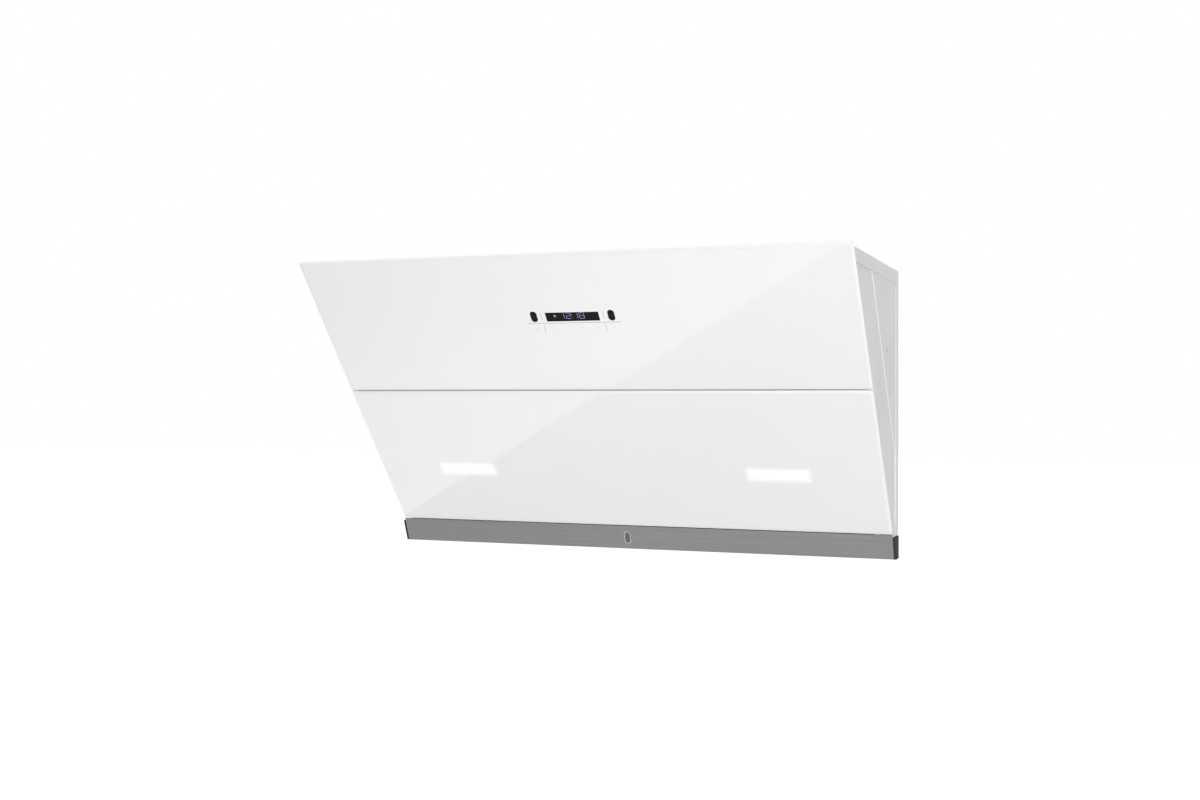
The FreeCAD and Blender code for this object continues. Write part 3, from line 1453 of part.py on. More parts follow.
def cable(start, lead_out, lead_in, end):
    """A round cable that leaves towards one point and arrives from another."""
    curve = Part.BezierCurve()
    curve.setPoles([start, lead_out, lead_in, end])
    path = Part.Wire(curve.toShape())
    way = curve.tangent(curve.FirstParameter)[0]
    circle = Part.Wire(Part.makeCircle(d.cable_radius.value, start, way))
    return path.makePipeShell([circle], True, True)


spread = V(0, 0, d.cable_spread.value)
reach = V(d.cable_lead.value, 0, 0)
power_middle = number_point((power_right, (power_face + power_floor) / 2, relay_z))
control_x = control_half - d.control_post_inset
control_plug = number_point(FRONT.point(control_x, case_rear, -d.control_drop))
control_lead = number_point(FRONT.point(control_x, case_rear + d.cable_lead, -d.control_drop))
motor_plug = number_point(FRONT.point(gearbox_start - d.rotor_length, *gearbox_middle))
fan_plug = V(d.fan_offset.value + outlet_right, power_middle.y, power_middle.z)
box_left = V(power_left.value, power_middle.y, power_middle.z)
third = (box_left - fan_plug) * (1 / 3)
upper_plug = power_middle + spread
lower_plug = power_middle - spread
wires = [
    cable(upper_plug, upper_plug + reach, control_lead, control_plug),
    cable(lower_plug, lower_plug + reach, motor_plug - reach, motor_plug),
    cable(box_left, box_left - third, fan_plug + third, fan_plug),
]
harness = doc.addObject("Part::Feature", "Harness")
harness.Shape = Part.makeCompound(wires)
finish(harness, "wiring_harness", WALL)

# Grease tray behind the brushed strip, its end caps and sight window, and the rails that carry it
tray_top = foot_face - d.strip_gap
tray_foot = tray_top - d.strip_height
front_foot = d.strip_lean - strip_back
tray_rear_top = tray_top - d.tray_rear_step
lean_share = d.strip_lean / d.strip_height
inner_foot_z = tray_foot + d.tray_gauge
inner_foot_y = front_foot - d.tray_gauge * lean_share + d.tray_gauge
tray_points = [
    (-strip_back, tray_top),
    (front_foot, tray_foot),
    (-tray_rear, tray_foot),
    (-tray_rear, tray_rear_top),
    (-tray_rear - d.tray_gauge, tray_rear_top),
    (-tray_rear - d.tray_gauge, inner_foot_z),
    (inner_foot_y, inner_foot_z),
    (d.tray_gauge + d.tray_gauge * lean_share - strip_back, tray_top - d.tray_gauge),
    (d.hem_depth - strip_back, tray_top - d.tray_gauge),
    (d.hem_depth - strip_back, tray_top),
]
rail_foot = foot_face - d.rail_height
runner_foot = rail_foot + d.rail_gauge + d.runner_gap
runner_top = runner_foot + d.tray_gauge
runner_outer = rail_outer - d.rail_gauge - d.runner_side_gap
rear_half = runner_inner - d.tray_notch_gap
tray_parts = [
    prism(tray_points, (-glass_half, glass_half)),
    box(
        (-rear_half, rear_half),
        (-tray_rear - d.tray_gauge, -tray_rear),
        (tray_rear_top, foot_face - d.tray_rear_gap),
    ),
]
for side in (-1, 1):
    runner_x = mirrored(side, runner_inner, runner_outer)
    tray_parts.append(box(runner_x, (-rail_front, -d.runner_rear), (runner_foot, runner_top)))
    tray_parts.append(
        box(
            mirrored(side, runner_inner, runner_inner + d.runner_riser),
            (-tray_rear - d.tray_gauge, -tray_rear),
            (tray_rear_top, runner_foot),
        )
    )
STRIP = Frame(0, -strip_back, tray_top, slope_angle(d.strip_lean, d.strip_height))
tray_body = fused(*tray_parts)
sight_hole = pill(
    d.sight_offset,
    -d.sight_drop,
    d.sight_width + 2 * d.insert_clearance,
    d.sight_height + 2 * d.insert_clearance,
    (-d.sight_depth, 2 * d.sight_depth),
)
STRIP.place(sight_hole)
finish(less(tray_body, sight_hole), "grease_tray", WALL)

cap_top = tray_top - d.cap_drop
cap_points = [
    (d.cap_drop * lean_share - strip_back, cap_top),
    (front_foot, tray_foot),
    (-tray_rear, tray_foot),
    (-tray_rear, cap_top),
]
for side, label in ((-1, "left_end_cap"), (1, "right_end_cap")):
    finish(prism(cap_points, mirrored(side, glass_half, glass_half + d.cap_thickness)), label, WALL)

sight_span = (-d.insert_recess, d.sight_depth)
sight_lens = pill(d.sight_offset, -d.sight_drop, d.sight_width, d.sight_height, sight_span)
finish(sight_lens, "sight_window", STRIP)
bezel_span = (-d.bezel_height, as_size(0))
bezel_hole = 2 * d.insert_clearance
bezel = less(
    pill(
        d.sight_offset,
        -d.sight_drop,
        d.sight_width + 2 * d.bezel_width,
        d.sight_height + 2 * d.bezel_width,
        bezel_span,
    ),
    pill(d.sight_offset, -d.sight_drop, d.sight_width + bezel_hole, d.sight_height + bezel_hole, bezel_span),
)
finish(bezel, "sight_bezel", STRIP)

for side, label in ((-1, "left_tray_rail"), (1, "right_tray_rail")):
    rail_y = (-rail_front, -d.rail_rear)
    rail_ledge = (rail_foot, rail_foot + d.rail_gauge)
    rail = fused(
        box(mirrored(side, rail_outer - d.rail_gauge, rail_outer), rail_y, (rail_foot, foot_face)),
        box(mirrored(side, rail_outer - d.rail_width, rail_outer), rail_y, rail_ledge),
    )
    finish(rail, label, WALL)

# Screws: top panel and side panels, then the collar
casing_screws = [screw("z", place, top_face, -1) for place in top_screw_places]
casing_screws.append(screw("x", side_screw_place, field_face, -1))
casing_screws.append(screw("x", side_screw_place, -field_face, 1))
finish(group(*casing_screws), "casing_screws", WALL)
collar_screws = [screw("z", place, top_face + d.collar_wall, -1) for place in collar_screw_places]
finish(group(*collar_screws), "collar_screws", WALL)

doc.recompute()
problems = [feature.Name for feature in doc.Objects if "Invalid" in feature.State or "Error" in feature.State]
for feature in NODES:
    if feature.Shape.isNull() or not feature.Shape.isValid():
        problems.append(feature.Label)
if problems:
    raise RuntimeError("these did not build: " + ", ".join(problems))

os.makedirs("parts", exist_ok=True)
for feature in NODES:
    feature.Shape.exportStep(f"parts/{feature.Label}.step")
print(len(NODES), "sub-parts written")
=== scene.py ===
"""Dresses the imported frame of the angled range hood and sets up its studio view."""

import json
import logging
import math
from dataclasses import dataclass, field
from enum import Enum
from functools import cache

import bmesh
import bpy
from mathutils import Color, Matrix, Vector


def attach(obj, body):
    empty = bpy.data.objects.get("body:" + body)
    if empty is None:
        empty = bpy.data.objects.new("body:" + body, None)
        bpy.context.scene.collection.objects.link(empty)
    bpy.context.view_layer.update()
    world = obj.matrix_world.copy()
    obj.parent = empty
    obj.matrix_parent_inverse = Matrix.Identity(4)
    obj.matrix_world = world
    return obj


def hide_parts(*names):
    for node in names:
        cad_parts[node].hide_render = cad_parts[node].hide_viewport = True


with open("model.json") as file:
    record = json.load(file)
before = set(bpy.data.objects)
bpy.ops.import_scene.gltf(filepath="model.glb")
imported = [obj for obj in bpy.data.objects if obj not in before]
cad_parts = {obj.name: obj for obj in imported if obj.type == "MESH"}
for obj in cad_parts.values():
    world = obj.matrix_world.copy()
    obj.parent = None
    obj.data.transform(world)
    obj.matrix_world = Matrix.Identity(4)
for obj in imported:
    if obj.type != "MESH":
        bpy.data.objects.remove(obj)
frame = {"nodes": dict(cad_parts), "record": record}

LOG = logging.getLogger("range_hood")
MM = 0.001
Pair = tuple[float, float]
Point = tuple[float, float, float]
Rgb = tuple[float, float, float]
Shape = bmesh.types.BMesh
Socket = bpy.types.NodeSocket
Feed = Socket | float | tuple[float, ...]

FULL_TONE = 255.0
BLACK: Rgb = (0.0, 0.0, 0.0)
WHITE: Rgb = (FULL_TONE, FULL_TONE, FULL_TONE)


def linear(colour: Rgb) -> tuple[float, float, float, float]:
    """Turns a colour read from 0 to 255 into the linear values that a shader takes.

    Args:
        colour: Red, green and blue as a paint chart gives them.

    Returns:
        Linear red, green and blue, with an alpha of one.
    """
    shares = Color([level / FULL_TONE for level in colour])
    return (*shares.from_srgb_to_scene_linear(), 1.0)


class NodeSheet:
    """A node tree with short calls that add nodes and join their sockets.

    Attributes:
        tree: The node tree.
        mix_first: Place of the first colour among a mix node's inputs.
        mix_second: Place of the second colour.
        mix_result: Place of the mixed colour among its outputs.
    """

    mix_first: int = 6
    mix_second: int = 7
    mix_result: int = 2

    def __init__(self, tree: bpy.types.NodeTree) -> None:
        """Starts from an emptied tree."""
        self.tree = tree
        tree.nodes.clear()

    def add(self, kind: str, **settings: object) -> bpy.types.Node:
        """Adds one node.

        Args:
            kind: The node's type name.
            settings: Properties to set on the node.

        Returns:
            The new node.
        """
        node = self.tree.nodes.new(kind)
        for name, setting in settings.items():
            setattr(node, name, setting)
        return node

    def join(self, source: Socket, target: Socket) -> None:
        """Links one socket to another."""
        self.tree.links.new(source, target)

    def feed(self, node: bpy.types.Node, feeds: dict[str | int, Feed]) -> None:
        """Feeds a node's inputs, each from a socket or with a plain value.

        Args:
            node: The node to feed.
            feeds: The socket or the value of each input, by the input's name or place.
        """
        for key, source in feeds.items():
            if isinstance(source, Socket):
                self.join(source, node.inputs[key])
            else:
                node.inputs[key].default_value = source

    def math(self, operation: str, first: Feed, second: Feed = 0.0) -> Socket:
        """Works out one or two values, each a socket or a number.

        Args:
            operation: The math node's operation.
            first: A socket or a number.
            second: A socket or a number.

        Returns:
            The socket with the answer.
        """
        node = self.add("ShaderNodeMath", operation=operation)
        self.feed(node, {0: first, 1: second})
        return node.outputs[0]

    def weigh(self, first: Socket, second: Socket, share: float) -> Socket:
        """Adds two values by their shares.

        Args:
            first: The first value.
            second: The second value.
            share: The first value's share; the second has the rest.

        Returns:
            The sum.
        """
        return self.math("ADD", self.math("MULTIPLY", first, share),
                         self.math("MULTIPLY", second, 1.0 - share))

    def spread(self, source: Socket, span: Pair, onto: Pair = (0.0, 1.0),
               smooth: bool = False) -> Socket:
        """Maps a value from one span onto another.

        Args:
            source: The value to map.
            span: Where the value starts and ends.
            onto: What the start and the end become.
            smooth: Whether the change eases in and out.

        Returns:
            The mapped value.
        """
        ease = "SMOOTHSTEP" if smooth else "LINEAR"
        node = self.add("ShaderNodeMapRange", interpolation_type=ease)
        self.feed(node, {"Value": source, "From Min": span[0], "From Max": span[1],
                         "To Min": onto[0], "To Max": onto[1]})
        return node.outputs["Result"]

    def blend(self, mask: Socket, low: Socket | Rgb, high: Rgb) -> Socket:
        """Mixes two colours by a mask.

        Args:
            mask: Zero for the first colour and one for the second.
            low: The first colour, as a socket or from 0 to 255.
            high: The second colour, from 0 to 255.

        Returns:
            The mixed colour.
        """
        node = self.add("ShaderNodeMix", data_type="RGBA")
        first = low if isinstance(low, Socket) else linear(low)
        self.feed(node, {"Factor": mask, self.mix_first: first, self.mix_second: linear(high)})
        return node.outputs[self.mix_result]

    def axes(self, place: Socket) -> bpy.types.Node:
        """Splits a place into its three axes.

        Args:
            place: The coordinates to split.

        Returns:
            The node with the outputs X, Y and Z.
        """
        node = self.add("ShaderNodeSeparateXYZ")
        self.join(place, node.inputs["Vector"])
        return node


class Effect(Enum):
    """The surface effects that several finishes share."""

    MOTTLE = "soft_mottle"
    GRAIN = "fine_grain"
    STREAKS = "brushed_streaks"
    SPANGLE = "zinc_spangle"
    SMUDGES = "handling_smudges"
    TRACKS = "board_tracks"


class EffectSheet(NodeSheet):
    """The node group of one effect, with Vector and Scale inputs and a Mask output.

    Attributes:
        place: The coordinates that the group is given.
        scale: How fine the group's effect is to be, per metre.
        streak_stretch: How far each axis is drawn out for hairlines.
        rings_per_cell: How many tracks run round each pad of a board.
    """

    streak_stretch: Point = (0.012, 1.0, 1.0)
    rings_per_cell: float = 5.0

    def __init__(self, effect: Effect) -> None:
        """Builds the group with its sockets.

        Args:
            effect: Which effect.
        """
        super().__init__(bpy.data.node_groups.new(effect.value, "ShaderNodeTree"))
        sockets = self.tree.interface
        sockets.new_socket("Vector", in_out="INPUT", socket_type="NodeSocketVector")
        sockets.new_socket("Scale", in_out="INPUT", socket_type="NodeSocketFloat")
        sockets.new_socket("Mask", in_out="OUTPUT", socket_type="NodeSocketFloat")
        entry = self.add("NodeGroupInput")
        leave = self.add("NodeGroupOutput")
        self.place = entry.outputs["Vector"]
        self.scale = entry.outputs["Scale"]
        makers = {
            Effect.MOTTLE: self.mottle,
            Effect.GRAIN: self.grain,
            Effect.STREAKS: self.streaks,
            Effect.SPANGLE: self.spangle,
            Effect.SMUDGES: self.smudges,
            Effect.TRACKS: self.tracks,
        }
        self.join(makers[effect](), leave.inputs["Mask"])

    def noise(self, detail: float, rough: float, finer: float = 1.0,
              place: Socket | None = None) -> Socket:
        """Adds plain noise.

        Args:
            detail: How many finer layers it holds.
            rough: How strong the finer layers are.
            finer: How many times the group's own scale it has.
            place: The coordinates to read, where they aren't the group's own.

        Returns:
            The noise value.
        """
        node = self.add("ShaderNodeTexNoise")
        scale = self.scale if finer == 1.0 else self.math("MULTIPLY", self.scale, finer)
        self.feed(node, {"Vector": self.place if place is None else place, "Scale": scale,
                         "Detail": detail, "Roughness": rough})
        return node.outputs["Fac"]

    def cells(self, feature: str, **settings: object) -> bpy.types.Node:
        """Adds a pattern of cells.

        Args:
            feature: Which measure of the cells it gives.
            settings: More properties to set on the node.

        Returns:
            The pattern's node.
        """
        node = self.add("ShaderNodeTexVoronoi", feature=feature, **settings)
        self.feed(node, {"Vector": self.place, "Scale": self.scale})
        return node

    def mottle(self) -> Socket:
        """Soft clouds of tone, as in paint and moulded plastic."""
        cloud = self.noise(detail=3.0, rough=0.55)
        return self.spread(cloud, span=(0.3, 0.7), smooth=True)

    def grain(self) -> Socket:
        """The fine pebbled skin of powder coat and textured plastic.

        Returns:
            The mask.
        """
        pebbles = self.cells("SMOOTH_F1")
        self.feed(pebbles, {"Smoothness": 0.6})
        specks = self.noise(detail=4.0, rough=0.6)
        return self.weigh(pebbles.outputs["Distance"], specks, share=0.6)

    def streaks(self) -> Socket:
        """Long hairlines along the hood's width, as a sheet mill leaves them.

        Returns:
            The mask.
        """
        stretch = self.add("ShaderNodeMapping")
        self.feed(stretch, {"Vector": self.place, "Scale": self.streak_stretch})
        drawn = stretch.outputs["Vector"]
        coarse = self.noise(detail=2.0, rough=0.5, place=drawn)
        fine = self.noise(detail=4.0, rough=0.7, finer=4.0, place=drawn)
        return self.spread(self.weigh(coarse, fine, share=0.5), span=(0.32, 0.68))

    def spangle(self) -> Socket:
        """The frosty crystals of hot-dipped zinc.

        Returns:
            The mask.
        """
        crystals = self.cells("F1")
        tone = self.add("ShaderNodeSeparateColor")
        self.join(crystals.outputs["Color"], tone.inputs["Color"])
        feather = self.noise(detail=4.0, rough=0.65, finer=3.0)
        return self.weigh(tone.outputs["Red"], feather, share=0.65)

    def smudges(self) -> Socket:
        """Faint wipes and finger marks that only change the gloss.

        Returns:
            The mask.
        """
        wide = self.noise(detail=2.0, rough=0.5)
        tight = self.noise(detail=5.0, rough=0.6, finer=6.0)
        return self.spread(self.weigh(wide, tight, share=0.7), span=(0.35, 0.65), smooth=True)

    def tracks(self) -> Socket:
        """Copper tracks and pads under the lacquer of a circuit board.

        Returns:
            The mask.
        """
        route = self.cells("F1", distance="MANHATTAN")
        rings = self.math("MULTIPLY", route.outputs["Distance"], self.rings_per_cell)
        return self.spread(self.math("FRACT", rings), span=(0.42, 0.5), smooth=True)


@cache
def effect_group(effect: Effect) -> bpy.types.NodeTree:
    """Gives the node group of an effect, built on its first use."""
    return EffectSheet(effect).tree


class MaterialSheet(NodeSheet):
    """The nodes of one material.

    Attributes:
        material: The material.
        place: The coordinates that its patterns read.
        surface: The output's socket for a shader.
    """

    def __init__(self, name: str) -> None:
        """Starts a material with nothing in its output.

        Args:
            name: The material's name.
        """
        self.material = bpy.data.materials.new(name)
        self.material.use_nodes = True
        super().__init__(self.material.node_tree)
        self.place = self.add("ShaderNodeTexCoord").outputs["Object"]
        self.surface = self.add("ShaderNodeOutputMaterial").inputs["Surface"]

    def effect(self, effect: Effect, scale: float) -> Socket:
        """Places an effect's group in the material.

        Args:
            effect: Which effect.
            scale: How fine it is, per metre.

        Returns:
            The effect's mask.
        """
        group = self.add("ShaderNodeGroup", node_tree=effect_group(effect))
        self.feed(group, {"Vector": self.place, "Scale": scale})
        return group.outputs["Mask"]


class SurfaceSheet(MaterialSheet):
    """The nodes of one surface of the hood.

    Attributes:
        shader: The shader that gives it its look.
    """

    def __init__(self, name: str) -> None:
        """Starts a material with a plain shader."""
        super().__init__(name)
        self.shader = self.add("ShaderNodeBsdfPrincipled")
        self.join(self.shader.outputs["BSDF"], self.surface)

    def repaint(self, mask: Socket, tone: Rgb) -> None:
        """Paints another tone over the colour.

        Args:
            mask: Where the tone goes: one for all of it.
            tone: The tone, from 0 to 255.
        """
        colour = self.shader.inputs["Base Color"]
        self.join(self.blend(mask, colour.links[0].from_socket, tone), colour)

    def glow(self, mask: Socket, low: Rgb, high: Rgb, strength: float) -> None:
        """Lets the surface give off light.

        Args:
            mask: Zero for the first colour of the light and one for the second.
            low: The first colour, from 0 to 255.
            high: The second colour, from 0 to 255.
            strength: How bright the light is; one is white paper's level.
        """
        self.feed(self.shader, {"Emission Color": self.blend(mask, low, high),
                                "Emission Strength": strength})


@dataclass(frozen=True)
class FaceFrame:
    """A flat face of the hood: across it, into it and up along it.

    Attributes:
        top_y: Place of the face's top edge from the wall.
        top_z: Height of the face's top edge.
        lean: How far the face leans back from upright, in radians.
    """

    top_y: float
    top_z: float
    lean: float

    def matrix(self) -> Matrix:
        """Takes a point on the face to the hood's own frame."""
        lean = Matrix.Rotation(self.lean, 4, "X")
        return Matrix.Translation((0.0, self.top_y, self.top_z)) @ lean

    def axes(self, sheet: MaterialSheet) -> bpy.types.Node:
        """Adds a material's place on the face: across, behind it and up its slope.

        Args:
            sheet: The material's nodes.

        Returns:
            The node with the outputs X, Y and Z.
        """
        local = sheet.add("ShaderNodeMapping", vector_type="TEXTURE")
        sheet.feed(local, {"Vector": sheet.place, "Location": (0.0, self.top_y, self.top_z),
                           "Rotation": (self.lean, 0.0, 0.0)})
        return sheet.axes(local.outputs["Vector"])


GLASS_FACE = FaceFrame(top_y=-453.2 * MM, top_z=130.0 * MM, lean=math.radians(38.88))


@dataclass(frozen=True)
class LampPatch:
    """Where the lamps' lenses are on the glass, the same on both sides of the hood.

    Attributes:
        middle: A lens's middle from the hood's middle.
        drop: A lens's middle down the glass face.
        half_length: Half a lens's length.
        half_height: Half a lens's height.
    """

    middle: float = 277.0 * MM
    drop: float = 437.5 * MM
    half_length: float = 48.3 * MM
    half_height: float = 9.5 * MM

    def mask(self, sheet: NodeSheet, axes: bpy.types.Node, inner: float, outer: float) -> Socket:
        """Masks both lenses with a soft rim.

        Args:
            sheet: The material's nodes.
            axes: The node that gives the place on the glass.
            inner: How far past a lens's rim the mask starts to fade; negative is inside it.
            outer: How far past the rim it has faded away.

        Returns:
            The mask, one on the lenses.
        """
        across = sheet.math("ABSOLUTE", axes.outputs["X"])
        along = sheet.math("ABSOLUTE", sheet.math("SUBTRACT", across, self.middle))
        upright = sheet.math("ABSOLUTE", sheet.math("ADD", axes.outputs["Z"], self.drop))
        fades = [sheet.spread(way, (half + outer, half + inner), smooth=True)
                 for way, half in ((along, self.half_length), (upright, self.half_height))]
        return sheet.math("MULTIPLY", *fades)


LAMP_PATCH = LampPatch()

# How fine wipes and marks are on every surface, per metre, and how deep its fine relief is.
SMUDGE_SCALE = 9.0
RELIEF_DEPTH = 0.1 * MM


@dataclass(frozen=True)
class Finish:
    """A surface finish: two tones mixed by an effect, its gloss and its relief.

    Attributes:
        name: The material's name.
        light: The main tone, from 0 to 255.
        dark: The tone that the effect mixes in.
        effect: Which effect mixes the tones.
        scale: How fine the effect is, per metre.
        roughness: The gloss in the middle of its swing.
        swing: How far wipes and marks change the gloss either way.
        relief: How strong the fine relief is.
        relief_scale: How fine the relief is, per metre.
        metallic: One for bare metal.
        coat: Weight of a clear top layer.
        coat_roughness: Gloss of the clear top layer.
        shine: Specular level of the layer itself.
    """

    name: str
    light: Rgb
    dark: Rgb
    effect: Effect
    scale: float
    roughness: float
    swing: float
    relief: float
    relief_scale: float
    metallic: float = 0.0
    coat: float = 0.0
    coat_roughness: float = 0.03
    shine: float = 0.5

    def dressed(self) -> SurfaceSheet:
        """Builds the finish with its colour, gloss and relief.

        Returns:
            The nodes of its material.
        """
        sheet = SurfaceSheet(self.name)
        tone = sheet.blend(sheet.effect(self.effect, self.scale), self.dark, self.light)
        marks = sheet.effect(Effect.SMUDGES, SMUDGE_SCALE)
        gloss = (self.roughness - self.swing, self.roughness + self.swing)
        skin = Effect.STREAKS if self.effect is Effect.STREAKS else Effect.GRAIN
        bump = sheet.add("ShaderNodeBump")
        sheet.feed(bump, {"Strength": self.relief, "Distance": RELIEF_DEPTH,
                          "Height": sheet.effect(skin, self.relief_scale)})
        sheet.feed(sheet.shader, {
            "Base Color": tone,
            "Roughness": sheet.spread(marks, (0.0, 1.0), gloss),
            "Normal": bump.outputs["Normal"],
            "Metallic": self.metallic,
            "Coat Weight": self.coat,
            "Coat Roughness": self.coat_roughness,
            "Specular IOR Level": self.shine,
        })
        return sheet


@dataclass(frozen=True)
class GlowFinish(Finish):
    """A finish that shines by itself, almost evenly over the piece.

    Attributes:
        glow: The colour of its light, from 0 to 255.
        strength: How bright it is; one is white paper's level.
        flicker: How fine the light's unevenness is, per metre.
        faintest: The share of the light where it is weakest.
    """

    glow: Rgb = WHITE
    strength: float = 1.0
    flicker: float = 300.0
    faintest: float = 0.93

    def dressed(self) -> SurfaceSheet:
        """Builds the finish and adds its light.

        Returns:
            The nodes of its material.
        """
        sheet = super().dressed()
        faint = tuple(self.faintest * level for level in self.glow)
        sheet.glow(sheet.effect(Effect.MOTTLE, self.flicker), faint, self.glow, self.strength)
        return sheet


@dataclass(frozen=True)
class LensFinish(Finish):
    """A frosted lamp lens, bright in its middle and fading to its edges.

    Attributes:
        soft: How wide the fading edge is.
        glow: The colour of its light, from 0 to 255.
        strength: How bright the middle is.
    """

    soft: float = 3.0 * MM
    glow: Rgb = (255.0, 255.0, 253.0)
    strength: float = 0.6

    def dressed(self) -> SurfaceSheet:
        """Builds the lens with a light that fades towards its rim.

        Returns:
            The nodes of its material.
        """
        sheet = super().dressed()
        lit = LAMP_PATCH.mask(sheet, GLASS_FACE.axes(sheet), inner=-self.soft, outer=0.0)
        sheet.glow(lit, BLACK, self.glow, self.strength)
        return sheet


@dataclass(frozen=True)
class GlassFinish(Finish):
    """White glass with a painted highlight on its polished top and side edges, and the lamps'
    light spilling into it.

    Attributes:
        edge_highlight_tone: The tone of the painted highlight on the polished edges, from 0 to
            255.
        edge_depth: How far behind the face an edge has the painted highlight's full tone.
        foot: How far down the glass face the painted highlight on the edges reaches.
        spill_reach: How far past a lens's rim the light spills.
        spill_light: How bright the spill is at the rim.
    """

    edge_highlight_tone: Rgb = (242.0, 242.0, 242.0)
    edge_depth: float = 0.6 * MM
    foot: float = 554.0 * MM
    spill_reach: float = 9.0 * MM
    spill_light: float = 0.14

    def dressed(self) -> SurfaceSheet:
        """Builds the glass with the painted highlight on its edges and the spill of light.

        Returns:
            The nodes of its material.
        """
        sheet = super().dressed()
        axes = GLASS_FACE.axes(sheet)
        # Painted highlight: the polished edges above the foot are painted lighter than the glass.
        edge = sheet.spread(axes.outputs["Y"], (0.0, self.edge_depth))
        above = sheet.spread(axes.outputs["Z"], (-self.foot, self.edge_depth - self.foot))
        sheet.repaint(sheet.math("MULTIPLY", edge, above), self.edge_highlight_tone)
        spill = LAMP_PATCH.mask(sheet, axes, inner=0.0, outer=self.spill_reach)
        sheet.glow(spill, BLACK, WHITE, self.spill_light)
        return sheet


@dataclass(frozen=True)
class FoldFinish(Finish):
    """Painted sheet with a painted highlight on the pressed steps of the hood's sides.

    Attributes:
        step_highlight_tone: The tone of the painted highlight on the steps, from 0 to 255.
        steps: Where each step starts and ends from the hood's middle.
        rise: The painted highlight lies on the steps below this height.
        wall: And in front of this place.
        soft: How far a change of tone reaches.
    """

    step_highlight_tone: Rgb = (250.0, 250.0, 250.0)
    steps: tuple[Pair, ...] = ((437.6 * MM, 439.1 * MM), (439.3 * MM, 440.4 * MM))
    rise: float = 104.0 * MM
    wall: float = -12.0 * MM
    soft: float = 0.1 * MM

    def dressed(self) -> SurfaceSheet:
        """Builds the sheet with the painted highlight on its steps.

        Returns:
            The nodes of its material.
        """
        sheet = super().dressed()
        axes = sheet.axes(sheet.place)
        across = sheet.math("ABSOLUTE", axes.outputs["X"])
        below = sheet.spread(axes.outputs["Z"], (self.rise, self.rise - self.soft))
        before = sheet.spread(axes.outputs["Y"], (self.wall, self.wall - self.soft))
        room = sheet.math("MULTIPLY", below, before)
        # Painted highlight: each pressed step on the sides is painted near white, as if it caught
        # the light.
        for inner, outer in self.steps:
            past = sheet.spread(across, (inner, inner + self.soft))
            short = sheet.spread(across, (outer, outer - self.soft))
            step = sheet.math("MULTIPLY", room, sheet.math("MULTIPLY", past, short))
            sheet.repaint(step, self.step_highlight_tone)
        return sheet


WHITE_GLASS = GlassFinish(
    "white_glass", (237, 237, 237), (235, 235, 235), Effect.MOTTLE, scale=3.0, roughness=0.42,
    swing=0.03, relief=0.004, relief_scale=900.0, coat=1.0, coat_roughness=0.015, shine=0.2)
DARK_WINDOW = Finish(
    "dark_window", (17, 17, 17), (11, 11, 12), Effect.MOTTLE, scale=40.0, roughness=0.12,
    swing=0.03, relief=0.004, relief_scale=900.0, shine=0.07)
SIGHT_SMOKE = Finish(
    "sight_smoke", (104, 104, 106), (88, 88, 90), Effect.MOTTLE, scale=160.0, roughness=0.16,
    swing=0.03, relief=0.01, relief_scale=900.0, shine=0.3)
CASING_WHITE = FoldFinish(
    "casing_white", (228, 228, 229), (227, 227, 228), Effect.MOTTLE, scale=60.0, roughness=0.42,
    swing=0.05, relief=0.22, relief_scale=1100.0)
ZINC_SHEET = Finish(
    "zinc_sheet", (186, 190, 193), (138, 143, 148), Effect.SPANGLE, scale=90.0, roughness=0.38,
    swing=0.08, relief=0.05, relief_scale=500.0, metallic=1.0)
FLAP_SHEET = Finish(
    "flap_sheet", (205, 206, 208), (178, 180, 183), Effect.STREAKS, scale=420.0, roughness=0.34,
    swing=0.06, relief=0.05, relief_scale=900.0, metallic=1.0)
TRAY_STEEL = Finish(
    "tray_steel", (137, 137, 138), (125, 125, 127), Effect.STREAKS, scale=260.0, roughness=0.4,
    swing=0.05, relief=0.06, relief_scale=700.0, metallic=0.15, shine=0.35)
CAP_PLASTIC = Finish(
    "cap_plastic", (64, 63, 70), (58, 57, 64), Effect.MOTTLE, scale=120.0, roughness=0.62,
    swing=0.06, relief=0.3, relief_scale=1500.0, shine=0.03)
LAMP_LENS = LensFinish(
    "lamp_lens", (246, 246, 244), (238, 238, 237), Effect.MOTTLE, scale=60.0, roughness=0.4,
    swing=0.04, relief=0.1, relief_scale=1600.0)
LAMP_CASE = Finish(
    "lamp_case", (214, 215, 215), (200, 201, 202), Effect.MOTTLE, scale=90.0, roughness=0.48,
    swing=0.06, relief=0.25, relief_scale=1300.0)
CIRCUIT_BOARD = Finish(
    "circuit_board", (34, 94, 62), (66, 124, 78), Effect.TRACKS, scale=110.0, roughness=0.32,
    swing=0.06, relief=0.08, relief_scale=800.0, coat=0.4, coat_roughness=0.12)
INNER_PLASTIC = Finish(
    "inner_plastic", (66, 67, 70), (54, 55, 58), Effect.MOTTLE, scale=110.0, roughness=0.46,
    swing=0.07, relief=0.3, relief_scale=1400.0)
LIGHT_PLASTIC = Finish(
    "light_plastic", (206, 206, 201), (190, 190, 185), Effect.MOTTLE, scale=80.0, roughness=0.44,
    swing=0.06, relief=0.25, relief_scale=1400.0)
MOTOR_METAL = Finish(
    "motor_metal", (170, 172, 176), (122, 124, 129), Effect.SPANGLE, scale=260.0, roughness=0.4,
    swing=0.08, relief=0.12, relief_scale=700.0, metallic=0.9)
FILTER_STEEL = Finish(
    "filter_steel", (196, 197, 198), (158, 160, 162), Effect.STREAKS, scale=500.0, roughness=0.28,
    swing=0.06, relief=0.06, relief_scale=1000.0, metallic=1.0)
SHAFT_STEEL = Finish(
    "shaft_steel", (202, 203, 205), (170, 171, 174), Effect.STREAKS, scale=900.0, roughness=0.2,
    swing=0.05, relief=0.05, relief_scale=1500.0, metallic=1.0)
